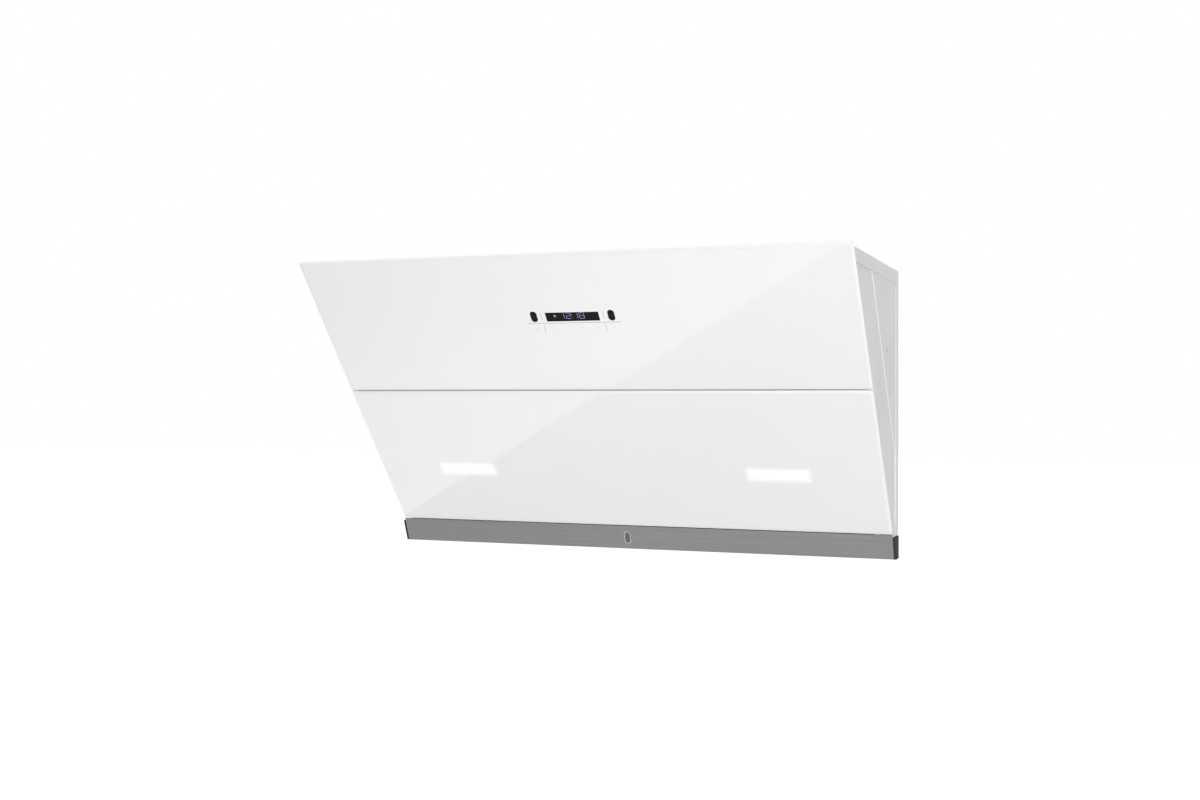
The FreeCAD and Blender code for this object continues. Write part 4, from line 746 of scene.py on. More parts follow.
BUMPER_RUBBER = Finish(
    "bumper_rubber", (48, 48, 50), (38, 38, 40), Effect.MOTTLE, scale=200.0, roughness=0.72,
    swing=0.06, relief=0.35, relief_scale=1800.0, shine=0.35)
CABLE_RUBBER = Finish(
    "cable_rubber", (62, 62, 64), (48, 48, 50), Effect.MOTTLE, scale=160.0, roughness=0.55,
    swing=0.07, relief=0.2, relief_scale=1800.0, shine=0.4)
SCREW_STEEL = Finish(
    "screw_steel", (208, 209, 210), (172, 174, 177), Effect.SPANGLE, scale=900.0, roughness=0.26,
    swing=0.06, relief=0.08, relief_scale=2200.0, metallic=1.0)
RIM_METAL = Finish(
    "rim_metal", (172, 172, 173), (156, 156, 158), Effect.STREAKS, scale=800.0, roughness=0.24,
    swing=0.05, relief=0.05, relief_scale=1500.0, metallic=0.9)
CLOCK_GLOW = GlowFinish(
    "clock_glow", (120, 117, 165), (98, 95, 146), Effect.MOTTLE, scale=200.0, roughness=0.4,
    swing=0.04, relief=0.02, relief_scale=1500.0, glow=(148, 146, 192), strength=0.57)
PRINT_GREY = Finish(
    "print_grey", (178, 179, 180), (170, 171, 172), Effect.MOTTLE, scale=400.0, roughness=0.4,
    swing=0.04, relief=0.05, relief_scale=1500.0, coat=1.0)
ICON_GREY = Finish(
    "icon_grey", (213, 214, 215), (208, 209, 210), Effect.MOTTLE, scale=400.0, roughness=0.4,
    swing=0.04, relief=0.05, relief_scale=1500.0, coat=1.0)

SLOT_FINISHES: dict[str, Finish] = {
    finish.name: finish
    for finish in (
        WHITE_GLASS, DARK_WINDOW, CASING_WHITE, ZINC_SHEET, FLAP_SHEET, TRAY_STEEL, CAP_PLASTIC,
        LAMP_LENS, LAMP_CASE, CIRCUIT_BOARD, INNER_PLASTIC, LIGHT_PLASTIC, MOTOR_METAL,
        FILTER_STEEL, SHAFT_STEEL, BUMPER_RUBBER, CABLE_RUBBER, SCREW_STEEL, RIM_METAL,
    )
}


@cache
def paint(finish: Finish) -> bpy.types.Material:
    """Gives the material of a finish, built on its first use."""
    return finish.dressed().material


# Points nearer than these are welded, in a whole piece and in a turned or cut shape.
PIECE_WELD = 0.0005 * MM
TURN_WELD = 0.001 * MM
RING_STEPS = 28

# Edges that bend more than this stay crisp.
CREASE = math.radians(35.0)


def make_object(name: str, mesh: Shape, material: bpy.types.Material) -> bpy.types.Object:
    """Turns a shape into an object of the scene.

    Args:
        name: The object's name.
        mesh: Its shape in the hood's frame; it is freed here.
        material: Its surface.

    Returns:
        The new object.
    """
    data = bpy.data.meshes.new(name)
    mesh.to_mesh(data)
    mesh.free()
    data.materials.append(material)
    made = bpy.data.objects.new(name, data)
    bpy.context.scene.collection.objects.link(made)
    return made


def make_piece(name: str, mesh: Shape, place: Matrix, finish: Finish,
               body: str) -> bpy.types.Object:
    """Turns a shape into a piece of the hood that rides on a body.

    Args:
        name: The piece's name.
        mesh: Its shape in its own frame; it is freed here.
        place: Takes its own frame to the hood's frame.
        finish: Its surface.
        body: The body it rides on.

    Returns:
        The new piece.
    """
    bmesh.ops.remove_doubles(mesh, verts=mesh.verts, dist=PIECE_WELD)
    bmesh.ops.transform(mesh, matrix=place, verts=mesh.verts)
    bmesh.ops.recalc_face_normals(mesh, faces=mesh.faces)
    piece = make_object(name, mesh, paint(finish))
    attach(piece, body)
    LOG.info("made %s on %s", name, body)
    return piece


def pull(mesh: Shape, faces: list[bmesh.types.BMFace], way: Point, keep: bool) -> None:
    """Extrudes faces and moves what grew.

    Args:
        mesh: The shape that they belong to.
        faces: The faces to extrude.
        way: How far and which way the grown faces move.
        keep: Whether the first faces stay as the other end.
    """
    grown = bmesh.ops.extrude_face_region(mesh, geom=faces, use_keep_orig=keep)
    moved = [item for item in grown["geom"] if isinstance(item, bmesh.types.BMVert)]
    bmesh.ops.translate(mesh, verts=moved, vec=way)


def add_plate(mesh: Shape, corners: list[Pair], face: float, back: float) -> None:
    """Adds a thin plate with the given outline on a flat face.

    Args:
        mesh: The shape that it joins.
        corners: The outline, across and up the face.
        face: Depth of its front.
        back: Depth of its back.
    """
    rim = [mesh.verts.new((across, back, up)) for across, up in corners]
    pull(mesh, [mesh.faces.new(rim)], (0.0, face - back, 0.0), keep=True)


def add_bar(mesh: Shape, middle: Pair, size: Pair, face: float, back: float) -> None:
    """Adds a straight printed bar.

    Args:
        mesh: The shape that it joins.
        middle: Its middle, across and up the face.
        size: Its width and height.
        face: Depth of its front.
        back: Depth of its back.
    """
    across, up = middle
    wide, tall = size[0] / 2, size[1] / 2
    add_plate(mesh, [(across - wide, up - tall), (across + wide, up - tall),
                     (across + wide, up + tall), (across - wide, up + tall)], face, back)


def add_ring(mesh: Shape, middle: Pair, radius: float, stroke: float, face: float,
             back: float) -> None:
    """Adds a printed ring, spun from its cross section.

    Args:
        mesh: The shape that it joins.
        middle: Its middle, across and up the face.
        radius: Its radius at the middle of the stroke.
        stroke: Its stroke's width.
        face: Depth of its front.
        back: Depth of its back.
    """
    across, up = middle
    inner, outer = radius - stroke / 2, radius + stroke / 2
    rim = [mesh.verts.new((across + reach, depth, up))
           for reach, depth in ((inner, back), (outer, back), (outer, face), (inner, face))]
    edges = [mesh.edges.new(pair) for pair in zip(rim, rim[1:] + rim[:1])]
    bmesh.ops.spin(mesh, geom=rim + edges, cent=(across, 0.0, up), axis=(0.0, 1.0, 0.0),
                   angle=math.tau, steps=RING_STEPS, use_merge=True)


def spun(profile: list[Pair], steps: int) -> Shape:
    """Spins a closed or open profile about the Z axis.

    Args:
        profile: Points as radius and height.
        steps: How many steps a full turn has.

    Returns:
        The turned shape.
    """
    mesh = bmesh.new()
    points = [mesh.verts.new((radius, 0.0, height)) for radius, height in profile]
    edges = [mesh.edges.new(pair) for pair in zip(points, points[1:])]
    bmesh.ops.spin(mesh, geom=points + edges, cent=(0.0, 0.0, 0.0), axis=(0.0, 0.0, 1.0),
                   angle=math.tau, steps=steps, use_merge=True)
    bmesh.ops.remove_doubles(mesh, verts=mesh.verts, dist=TURN_WELD)
    bmesh.ops.recalc_face_normals(mesh, faces=mesh.faces)
    return mesh


def joined(parts: list[tuple[Shape, Matrix]]) -> Shape:
    """Joins several shapes, each moved to its place.

    Args:
        parts: Shapes with their places; the shapes are freed here.

    Returns:
        One shape that holds them all.
    """
    whole = bmesh.new()
    for mesh, place in parts:
        bmesh.ops.transform(mesh, matrix=place, verts=mesh.verts)
        carrier = bpy.data.meshes.new("carrier")
        mesh.to_mesh(carrier)
        mesh.free()
        whole.from_mesh(carrier)
        bpy.data.meshes.remove(carrier)
    return whole


def smooth(piece: bpy.types.Object) -> None:
    """Shades a piece smooth, with its sharp creases left crisp.

    Args:
        piece: The piece to shade.
    """
    mesh = bmesh.new()
    mesh.from_mesh(piece.data)
    for face in mesh.faces:
        face.smooth = True
    for edge in mesh.edges:
        edge.smooth = len(edge.link_faces) == 2 and edge.calc_face_angle(0.0) < CREASE
    mesh.to_mesh(piece.data)
    mesh.free()


@dataclass
class CadDress:
    """Gives every solid of the frame its finish.

    Attributes:
        special: Finishes of the nodes that depart from their slot's own.
    """

    special: dict[str, Finish] = field(default_factory=lambda: {"sight_window": SIGHT_SMOKE})

    def slots(self) -> dict[str, str]:
        """Reads each node's material slot from the record."""
        return {entry["node"]: entry["material_slot"] for entry in frame["record"]["subparts"]}

    def dress(self) -> None:
        """Dresses every node."""
        slots = self.slots()
        for name, solid in frame["nodes"].items():
            finish = self.special.get(name, SLOT_FINISHES[slots[name]])
            solid.data.materials.clear()
            solid.data.materials.append(paint(finish))
            LOG.info("dressed %s in %s", name, finish.name)


@dataclass
class ClockDisplay:
    """The lit clock behind the dark window: a star and four digits.

    Attributes:
        digit_top: Top of the digits down the glass face.
        digit_height: Height of a digit.
        digit_width: Width of a full digit.
        stroke: Width of a lit bar.
        bar_gap: How far a bar's tip stays from the corner that it points to.
        full_digits: Lit bars and left edges of the full digits.
        narrow_digits: Middles of the narrow digits.
        narrow_bars: Lit bars of a narrow digit.
        colon: Middle of the colon.
        colon_rise: A colon's dot from the digits' waist, as a share of their height.
        star: Middle of the star.
        star_points: How many points the star has.
        star_radius: Reach of the star's points.
        star_notch: Reach of the notches between them, as a share of the points' reach.
        face: Depth of the lit faces behind the glass face.
        back: Depth of the window's face, on which the bars lie.
    """

    digit_top: float = 109.2 * MM
    digit_height: float = 11.2 * MM
    digit_width: float = 8.6 * MM
    stroke: float = 0.8 * MM
    bar_gap: float = 0.12 * MM
    full_digits: tuple[tuple[str, float], ...] = (("abged", -10.6 * MM), ("abcdefg", 11.6 * MM))
    narrow_digits: tuple[float, ...] = (-13.6 * MM, 8.8 * MM)
    narrow_bars: str = "bc"
    colon: float = -0.3 * MM
    colon_rise: float = 0.2
    star: float = -29.0 * MM
    star_points: int = 5
    star_radius: float = 3.1 * MM
    star_notch: float = 0.42
    face: float = 0.12 * MM
    back: float = 0.2 * MM

    def bar(self, mesh: Shape, start: Pair, end: Pair) -> None:
        """Adds one lit bar with pointed ends.

        Args:
            mesh: The shape that it joins.
            start: One end, across and up the face.
            end: The other end.
        """
        way = (Vector(end) - Vector(start)).normalized()
        begin = Vector(start) + way * self.bar_gap
        finish = Vector(end) - way * self.bar_gap
        side = Vector((-way.y, way.x)) * self.stroke / 2
        tip = way * self.stroke / 2
        outline = [begin, begin + tip - side, finish - tip - side, finish,
                   finish - tip + side, begin + tip + side]
        add_plate(mesh, [(corner.x, corner.y) for corner in outline], self.face, self.back)

    def digit(self, mesh: Shape, lit: str, left: float, right: float) -> None:
        """Adds one digit of the seven bars that have the usual letters.

        Args:
            mesh: The shape that it joins.
            lit: Letters of the lit bars.
            left: Middle of its left bars from the hood's middle.
            right: Middle of its right bars.
        """
        top = -self.digit_top - self.stroke / 2
        foot = -self.digit_top - self.digit_height + self.stroke / 2
        waist = (top + foot) / 2
        bars = {
            "a": ((left, top), (right, top)),
            "b": ((right, waist), (right, top)),
            "c": ((right, foot), (right, waist)),
            "d": ((left, foot), (right, foot)),
            "e": ((left, foot), (left, waist)),
            "f": ((left, waist), (left, top)),
            "g": ((left, waist), (right, waist)),
        }
        for letter in lit:
            self.bar(mesh, *bars[letter])

    def build(self) -> None:
        """Builds the digits and the star on the display window."""
        digits = bmesh.new()
        for lit, edge in self.full_digits:
            left = edge + self.stroke / 2
            self.digit(digits, lit, left, left + self.digit_width - self.stroke)
        for middle in self.narrow_digits:
            self.digit(digits, self.narrow_bars, middle, middle)
        waist = -self.digit_top - self.digit_height / 2
        for side in (-1, 1):
            dot = (self.colon, waist + side * self.colon_rise * self.digit_height)
            add_bar(digits, dot, (self.stroke, self.stroke), self.face, self.back)
        make_piece("clock_digits", digits, GLASS_FACE.matrix(), CLOCK_GLOW,
                   "housing")
        star = bmesh.new()
        outline = []
        for index in range(2 * self.star_points):
            reach = self.star_radius if index % 2 == 0 else self.star_notch * self.star_radius
            turn = math.pi / 2 + index * math.pi / self.star_points
            outline.append((self.star + reach * math.cos(turn), waist + reach * math.sin(turn)))
        add_plate(star, outline, self.face, self.back)
        make_piece("clock_star", star, GLASS_FACE.matrix(), CLOCK_GLOW, "housing")


@dataclass(frozen=True)
class SignStroke:
    """One stroke of a touch sign, in shares of the sign's size.

    Attributes:
        rise: Its middle above the sign's middle.
        radius: Radius of a ring; zero for a bar.
        wide: Width of a bar that lies.
        tall: Height of a bar that stands.
    """

    rise: float = 0.0
    radius: float = 0.0
    wide: float = 0.0
    tall: float = 0.0


POWER_SIGN = (SignStroke(radius=0.85), SignStroke(rise=0.4, tall=0.9))
MINUS_SIGN = (SignStroke(wide=1.7),)
PLUS_SIGN = (SignStroke(wide=1.7), SignStroke(rise=0.5, tall=0.75),
             SignStroke(rise=-0.5, tall=0.75))
LIGHT_SIGN = (SignStroke(rise=0.25, radius=0.6), SignStroke(rise=-0.7, wide=0.7))
TARGET_SIGN = (SignStroke(radius=0.85), SignStroke(radius=0.35))


@dataclass
class GlassPrint:
    """The faint grey marks printed on the upper glass round the display.

    Attributes:
        line_half: Half the length of the line under the display.
        line_drop: The line down the glass face.
        line_stroke: Its thickness.
        tick_reach: Ticks from the hood's middle.
        tick_rows: Top and bottom of the two rows of ticks down the glass face.
        tick_stroke: Thickness of a tick.
        signs: The touch signs from left to right.
        sign_drop: Middles of the touch signs down the glass face.
        sign_pitch: Spacing of the touch signs.
        sign_size: Size of a touch sign.
        sign_stroke: Thickness of a sign's strokes.
        face: Depth of the print's face; negative stands proud of the glass.
        back: Depth of the print's back.
    """

    line_half: float = 77.2 * MM
    line_drop: float = 128.2 * MM
    line_stroke: float = 1.2 * MM
    tick_reach: float = 51.3 * MM
    tick_rows: tuple[Pair, ...] = ((107.3 * MM, 123.3 * MM), (131.0 * MM, 146.6 * MM))
    tick_stroke: float = 0.8 * MM
    signs: tuple[tuple[SignStroke, ...], ...] = (
        POWER_SIGN, MINUS_SIGN, PLUS_SIGN, LIGHT_SIGN, POWER_SIGN, TARGET_SIGN)
    sign_drop: float = 139.5 * MM
    sign_pitch: float = 26.0 * MM
    sign_size: float = 2.7 * MM
    sign_stroke: float = 0.45 * MM
    face: float = -0.04 * MM
    back: float = 0.0

    def sign(self, mesh: Shape, strokes: tuple[SignStroke, ...], across: float) -> None:
        """Adds one plain touch sign.

        Args:
            mesh: The shape that it joins.
            strokes: The sign's strokes.
            across: Its middle from the hood's middle.
        """
        size, thin = self.sign_size, self.sign_stroke
        for stroke in strokes:
            middle = (across, stroke.rise * size - self.sign_drop)
            if stroke.radius > 0.0:
                add_ring(mesh, middle, stroke.radius * size, thin, self.face, self.back)
            else:
                spans = (max(stroke.wide * size, thin), max(stroke.tall * size, thin))
                add_bar(mesh, middle, spans, self.face, self.back)

    def build(self) -> None:
        """Builds the line, the ticks and the touch signs."""
        lines = bmesh.new()
        add_bar(lines, (0.0, -self.line_drop), (2 * self.line_half, self.line_stroke),
                self.face, self.back)
        for side in (-1, 1):
            for top, foot in self.tick_rows:
                add_bar(lines, (side * self.tick_reach, -(top + foot) / 2),
                        (self.tick_stroke, foot - top), self.face, self.back)
        make_piece("printed_lines", lines, GLASS_FACE.matrix(), PRINT_GREY,
                   "housing")
        signs = bmesh.new()
        left = -self.sign_pitch * (len(self.signs) - 1) / 2
        for index, strokes in enumerate(self.signs):
            self.sign(signs, strokes, left + index * self.sign_pitch)
        make_piece("touch_signs", signs, GLASS_FACE.matrix(), ICON_GREY, "housing")


@dataclass
class CrossScrews:
    """The small cross-recess screws of the casing and of the duct collar.

    Attributes:
        head_radius: Radius of a pan head.
        head_height: Height of a pan head.
        head_form: The head from its crown to its seat, in shares of its radius and height.
        shank_radius: Radius of the threaded shank.
        length: Length of the shank.
        threads: How many threads the shank has.
        thread_start: The first thread from the seat, as a share of the threads' spacing.
        root: A thread's root: a share of the shank's radius, and its drop as one of the length.
        tip: The shank's tip, in shares of its radius and length.
        steps: How many steps a full turn has.
        slot_half: Half the width of the cross's arms.
        slot_reach: Reach of the cross's arms.
        slot_depth: Depth of the cross.
        top_reach: Top panel screws from the hood's middle.
        top_rows: Top panel screws from the wall.
        top_seat: Height of the top panel.
        top_turn: Turn of the crosses there, to which each place adds its own.
        side_place: Side screws from the wall, and their height.
        side_seat: The raised triangle's face from the hood's middle.
        side_turn: Turn of the crosses there.
        collar_middle: The duct collar's axis from the wall.
        collar_radius: Collar screws from that axis.
        collar_seat: Height of the collar's flange.
        collar_count: How many screws the collar has.
        collar_turn: Turn of each cross there from the one before.
    """

    head_radius: float = 3.2 * MM
    head_height: float = 1.8 * MM
    head_form: tuple[Pair, ...] = ((0.0, 1.0), (0.35, 0.985), (0.62, 0.93), (0.84, 0.78),
                                   (0.96, 0.52), (1.0, 0.2), (0.99, 0.0))
    shank_radius: float = 1.6 * MM
    length: float = 7.0 * MM
    threads: int = 6
    thread_start: float = 0.3
    root: Pair = (0.8, 0.07)
    tip: tuple[Pair, ...] = ((0.5, 0.98), (0.0, 1.0))
    steps: int = 24
    slot_half: float = 0.38 * MM
    slot_reach: float = 1.75 * MM
    slot_depth: float = 1.0 * MM
    top_reach: float = 430.5 * MM
    top_rows: tuple[float, ...] = (-380.0 * MM, -60.0 * MM)
    top_seat: float = 128.0 * MM
    top_turn: float = 0.4
    side_place: Pair = (-115.0 * MM, -9.0 * MM)
    side_seat: float = 439.2 * MM
    side_turn: float = 0.5
    collar_middle: float = -86.0 * MM
    collar_radius: float = 80.4 * MM
    collar_seat: float = 129.5 * MM
    collar_count: int = 4
    collar_turn: float = 0.3

    def blank(self) -> Shape:
        """Turns one screw that stands on its seat with its shank down, without its cross.

        Returns:
            The screw's shape.
        """
        profile = [(share * self.head_radius, part * self.head_height)
                   for share, part in self.head_form]
        profile.append((self.shank_radius, 0.0))
        for turn in range(self.threads):
            level = -self.length * (turn + self.thread_start) / (self.threads + 1)
            profile.append((self.shank_radius, level))
            profile.append((self.root[0] * self.shank_radius, level - self.root[1] * self.length))
        profile += [(share * self.shank_radius, -part * self.length) for share, part in self.tip]
        return spun(profile, self.steps)

    def shape(self) -> Shape:
        """Builds one screw and sinks the cross into its head.

        Returns:
            The screw's shape.
        """
        mesh = self.blank()
        for offset in (self.slot_half, -self.slot_half, self.slot_reach, -self.slot_reach):
            for normal in (Vector((1.0, 0.0, 0.0)), Vector((0.0, 1.0, 0.0))):
                geometry = [*mesh.verts, *mesh.edges, *mesh.faces]
                bmesh.ops.bisect_plane(mesh, geom=geometry, dist=TURN_WELD,
                                       plane_co=normal * offset, plane_no=normal)
        cross = [face for face in mesh.faces if self.in_cross(face.calc_center_median())]
        pull(mesh, cross, (0.0, 0.0, -self.slot_depth), keep=False)
        left = [face for face in cross if face.is_valid]
        bmesh.ops.delete(mesh, geom=left, context="FACES_ONLY")
        return mesh

    def in_cross(self, spot: Vector) -> bool:
        """Tells whether a spot on the head lies in one of the cross's arms.

        Args:
            spot: The spot in the screw's own frame.

        Returns:
            Whether it does.
        """
        on_head = spot.z > self.head_height / 2
        along = abs(spot.x) < self.slot_reach and abs(spot.y) < self.slot_half
        athwart = abs(spot.y) < self.slot_reach and abs(spot.x) < self.slot_half
        return on_head and (along or athwart)

    def casing_screws(self) -> list[tuple[Shape, Matrix]]:
        """Builds the screws of the top panel and of the sides.

        Returns:
            The screws with their places.
        """
        screws = []
        for side in (-1, 1):
            for number, back in enumerate(self.top_rows):
                spot = Matrix.Translation((side * self.top_reach, back, self.top_seat))
                turn = Matrix.Rotation(self.top_turn + number + side, 4, "Z")
                screws.append((self.shape(), spot @ turn))
            spot = Matrix.Translation((side * self.side_seat, *self.side_place))
            outwards = Matrix.Rotation(side * math.pi / 2, 4, "Y")
            turn = Matrix.Rotation(self.side_turn, 4, "Z")
            screws.append((self.shape(), spot @ outwards @ turn))
        return screws

    def collar_screws(self) -> list[tuple[Shape, Matrix]]:
        """Builds the screws of the duct collar, between the hood's axes.

        Returns:
            The screws with their places.
        """
        screws = []
        for index in range(self.collar_count):
            bearing = math.tau * (index + 0.5) / self.collar_count
            spot = (self.collar_radius * math.cos(bearing),
                    self.collar_middle + self.collar_radius * math.sin(bearing), self.collar_seat)
            turn = Matrix.Rotation(self.collar_turn * index, 4, "Z")
            screws.append((self.shape(), Matrix.Translation(spot) @ turn))
        return screws

    def build(self) -> None:
        """Builds both sets of screws in place of their plain solids."""
        piece = make_piece("casing_screw_set", joined(self.casing_screws()), Matrix(), SCREW_STEEL,
                           "housing")
        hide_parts("casing_screws")
        smooth(piece)
        piece = make_piece("collar_screw_set", joined(self.collar_screws()), Matrix(), SCREW_STEEL,
                           "housing")
        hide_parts("collar_screws")
        smooth(piece)


@dataclass
class CordGland:
    """The gland in the top panel: hexagon body, ribbed cap and the nut below.

    Attributes:
        place: Middle of the gland and height of the top panel.
        bore: Radius of its bore.
        radius: Reach of the hexagon's corners.
        stem: Radius of the stem through the panel.
        rise: Height above the panel.
        body: Height of the hexagon body.
        drop: Depth below the panel's top.
        panel: Thickness of the panel.
        soft: How far the hexagon's edges are softened.
        soft_from: Edges whose ends are all further than this from the foot's middle are.
        nut_turn: Turn of the nut below.
        cap_radius: Radius of the cap.
        cap_rim: Height of the plain rim at its foot.
        grooves: How many grooves it has between its ribs.
        groove_start: The first groove above the cap's foot.
        groove_pitch: Spacing of the grooves.
        groove_form: Depths along a groove, each with its height above the groove's start.
        mouth: Shares of the cap's radius at its rounded mouth, each with its drop from the top.
        lip: How far outside the bore the mouth's inner edge is, each with its drop.
        steps: How many steps a full turn has.
    """

    place: Point = (250.0 * MM, -70.0 * MM, 128.0 * MM)
    bore: float = 4.2 * MM
    radius: float = 11.0 * MM
    stem: float = 8.0 * MM
    rise: float = 16.0 * MM
    body: float = 6.5 * MM
    drop: float = 8.0 * MM
    panel: float = 1.0 * MM
    soft: float = 0.6 * MM
    soft_from: float = 6.3 * MM
    nut_turn: float = 0.35
    cap_radius: float = 9.9 * MM
    cap_rim: float = 0.5 * MM
    grooves: int = 3
    groove_start: float = 0.8 * MM
    groove_pitch: float = 1.5 * MM
    groove_form: tuple[Pair, ...] = ((0.35 * MM, 0.0), (0.35 * MM, 0.5 * MM), (0.0, 0.8 * MM),
                                     (0.0, 1.2 * MM))
    mouth: tuple[Pair, ...] = ((0.84, 1.6 * MM), (0.7, 0.5 * MM), (0.58, 0.0))
    lip: tuple[Pair, ...] = ((0.4 * MM, 0.1 * MM), (0.0, 0.8 * MM))
    steps: int = 36

    def hexagon(self, foot: float, height: float) -> Shape:
        """Builds a hexagon nut with softened corners and a bore.

        Args:
            foot: Height of its lower face.
            height: Its thickness.

        Returns:
            The nut's shape.
        """
        mesh = bmesh.new()
        bmesh.ops.create_circle(mesh, cap_ends=False, segments=6, radius=self.radius)
        outer = list(mesh.edges)
        ring = bmesh.ops.create_circle(mesh, cap_ends=False, segments=6, radius=self.bore)["verts"]
        inner = [edge for edge in mesh.edges if edge.verts[0] in ring]
        bmesh.ops.bridge_loops(mesh, edges=outer + inner)
        pull(mesh, list(mesh.faces), (0.0, 0.0, height), keep=True)
        bmesh.ops.recalc_face_normals(mesh, faces=mesh.faces)
        rims = [edge for edge in mesh.edges
                if all(end.co.length > self.soft_from for end in edge.verts)]
        bmesh.ops.bevel(mesh, geom=rims, offset=self.soft, offset_type="OFFSET", affect="EDGES",
                        segments=2, profile=0.5, material=-1)
        bmesh.ops.translate(mesh, verts=mesh.verts, vec=(0.0, 0.0, foot))
        return mesh

    def cap(self, foot: float) -> Shape:
        """Builds the ribbed clamping cap with its rounded mouth.

        Args:
            foot: Height of its lower face.

        Returns:
            The cap's shape.
        """
        wide = self.cap_radius
        profile = [(self.bore, foot), (wide, foot), (wide, foot + self.cap_rim)]
        for groove in range(self.grooves):
            level = foot + self.groove_start + groove * self.groove_pitch
            profile += [(wide - depth, level + up) for depth, up in self.groove_form]
        profile += [(share * wide, self.rise - drop) for share, drop in self.mouth]
        profile += [(self.bore + out, self.rise - drop) for out, drop in self.lip]
        profile.append((self.bore, foot))
        return spun(profile, self.steps)

    def build(self) -> None:
        """Builds the gland in place of its plain solid."""
        stem = spun([(self.bore, -self.panel), (self.stem, -self.panel), (self.stem, 0.0),
                     (self.bore, 0.0), (self.bore, -self.panel)], self.steps)
        nut = self.hexagon(-self.drop, self.drop - self.panel)
        parts = [(stem, Matrix()), (self.hexagon(0.0, self.body), Matrix()),
                 (self.cap(self.body), Matrix()), (nut, Matrix.Rotation(self.nut_turn, 4, "Z"))]
        piece = make_piece("cord_gland_body", joined(parts), Matrix.Translation(self.place),
                           INNER_PLASTIC, "housing")
        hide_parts("cord_gland")
        smooth(piece)


@dataclass
class FlapBumpers:
    """The two rubber buffers that the closed flap rests against.

    Attributes:
        reach: Buffers from the hood's middle.
        drop: Buffers down the glass face.
        radius: Radius of a buffer's body.
        front: Depth of the rounded nose behind the glass face.
        back: Depth of the intake panel, on which it stands.
        foot: Shares of the radius at its foot, each with its height.
        waist: Shares of the radius at its waist, each with its share of the whole height.
        nose: Shares of the radius at its nose, each with its drop from the tip.
        steps: How many steps a full turn has.
    """

    reach: float = 387.5 * MM
    drop: float = 535.0 * MM
    radius: float = 7.0 * MM
    front: float = 23.3 * MM
    back: float = 66.0 * MM
    foot: tuple[Pair, ...] = ((0.0, 0.0), (1.0, 0.0), (1.0, 2.0 * MM), (0.86, 3.2 * MM))
    waist: tuple[Pair, ...] = ((0.8, 0.55), (0.86, 0.8))
    nose: tuple[Pair, ...] = ((0.84, 2.6 * MM), (0.7, 1.0 * MM), (0.45, 0.2 * MM), (0.0, 0.0))
    steps: int = 28

    def build(self) -> None:
        """Builds both buffers in place of their plain solids."""
        height = self.back - self.front
        levels = [*self.foot]
        levels += [(share, part * height) for share, part in self.waist]
        levels += [(share, height - drop) for share, drop in self.nose]
        profile = [(share * self.radius, level) for share, level in levels]
        outwards = Matrix.Rotation(math.pi / 2, 4, "X")
        parts = []
        for side in (-1, 1):
            spot = Matrix.Translation((side * self.reach, self.back, -self.drop))
            parts.append((spun(profile, self.steps), spot @ outwards))
        piece = make_piece("flap_buffer_pair", joined(parts), GLASS_FACE.matrix(), BUMPER_RUBBER,
                           "housing")
        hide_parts("flap_bumpers")
        smooth(piece)


@dataclass(frozen=True)
class StudioLamp:
    """A soft square lamp that faces the hood.

    Attributes:
        name: The lamp's name.
        place: Its middle.
        size: Its width.
        power: Its power in watts.
    """

    name: str
    place: Point
    size: float
    power: float

    def hang(self, aim: Point) -> None:
        """Hangs the lamp.

        Args:
            aim: The spot that it faces.
        """
        data = bpy.data.lights.new(self.name, "AREA")
        data.shape = "SQUARE"
        data.size = self.size
        data.energy = self.power
        lamp = bpy.data.objects.new(self.name, data)
        way = Vector(aim) - Vector(self.place)
        turn = way.to_track_quat("-Z", "Y").to_matrix().to_4x4()
        lamp.matrix_world = Matrix.Translation(self.place) @ turn
        lamp.visible_glossy = False
        bpy.context.scene.collection.objects.link(lamp)


@dataclass(frozen=True)
class ReflectorCard:
    """The bright card on the floor whose edge shows in the glass.

    Attributes:
        near: A spot on that edge, to the right.
        far: Another spot on it, to the left.
        before: How far the edge runs on before the near spot.
        beyond: How far it runs from there to its other end.
        reach: Width of the card behind the edge.
        lift: Its height above the floor.
        fade: How far behind the edge its light has faded.
        levels: Its light at the edge and where it has faded.
    """

    near: Pair = (0.135, -1.016)
    far: Pair = (-0.888, -0.379)
    before: float = 1.5
    beyond: float = 3.0
    reach: float = 2.2
    lift: float = 0.01
    fade: float = 1.3
    levels: Pair = (2.25, 0.35)

    def lay(self, floor_height: float) -> None:
        """Lays the card on the floor.

        Args:
            floor_height: Height of the floor.
        """
        near = Vector(self.near)
        along = (Vector(self.far) - near).normalized()
        outward = Vector((-along.y, along.x))
        start, end = near - along * self.before, near + along * self.beyond
        corners = [start, end, end + outward * self.reach, start + outward * self.reach]
        mesh = bmesh.new()
        mesh.faces.new([mesh.verts.new((corner.x, corner.y, floor_height + self.lift))
                        for corner in corners])
        sheet = MaterialSheet("reflector_card")
        behind = sheet.add("ShaderNodeVectorMath", operation="DOT_PRODUCT")
        sheet.feed(behind, {0: sheet.place, 1: (outward.x, outward.y, 0.0)})
        edge = near.dot(outward)
        level = sheet.spread(behind.outputs["Value"], (edge, edge + self.fade), self.levels)
        light = sheet.add("ShaderNodeEmission")
        sheet.feed(light, {"Strength": level})
        sheet.join(light.outputs["Emission"], sheet.surface)
        card = make_object("reflector_card", mesh, sheet.material)
        card.visible_camera = False
        card.visible_diffuse = False
        card.visible_transmission = False
        card.visible_shadow = False


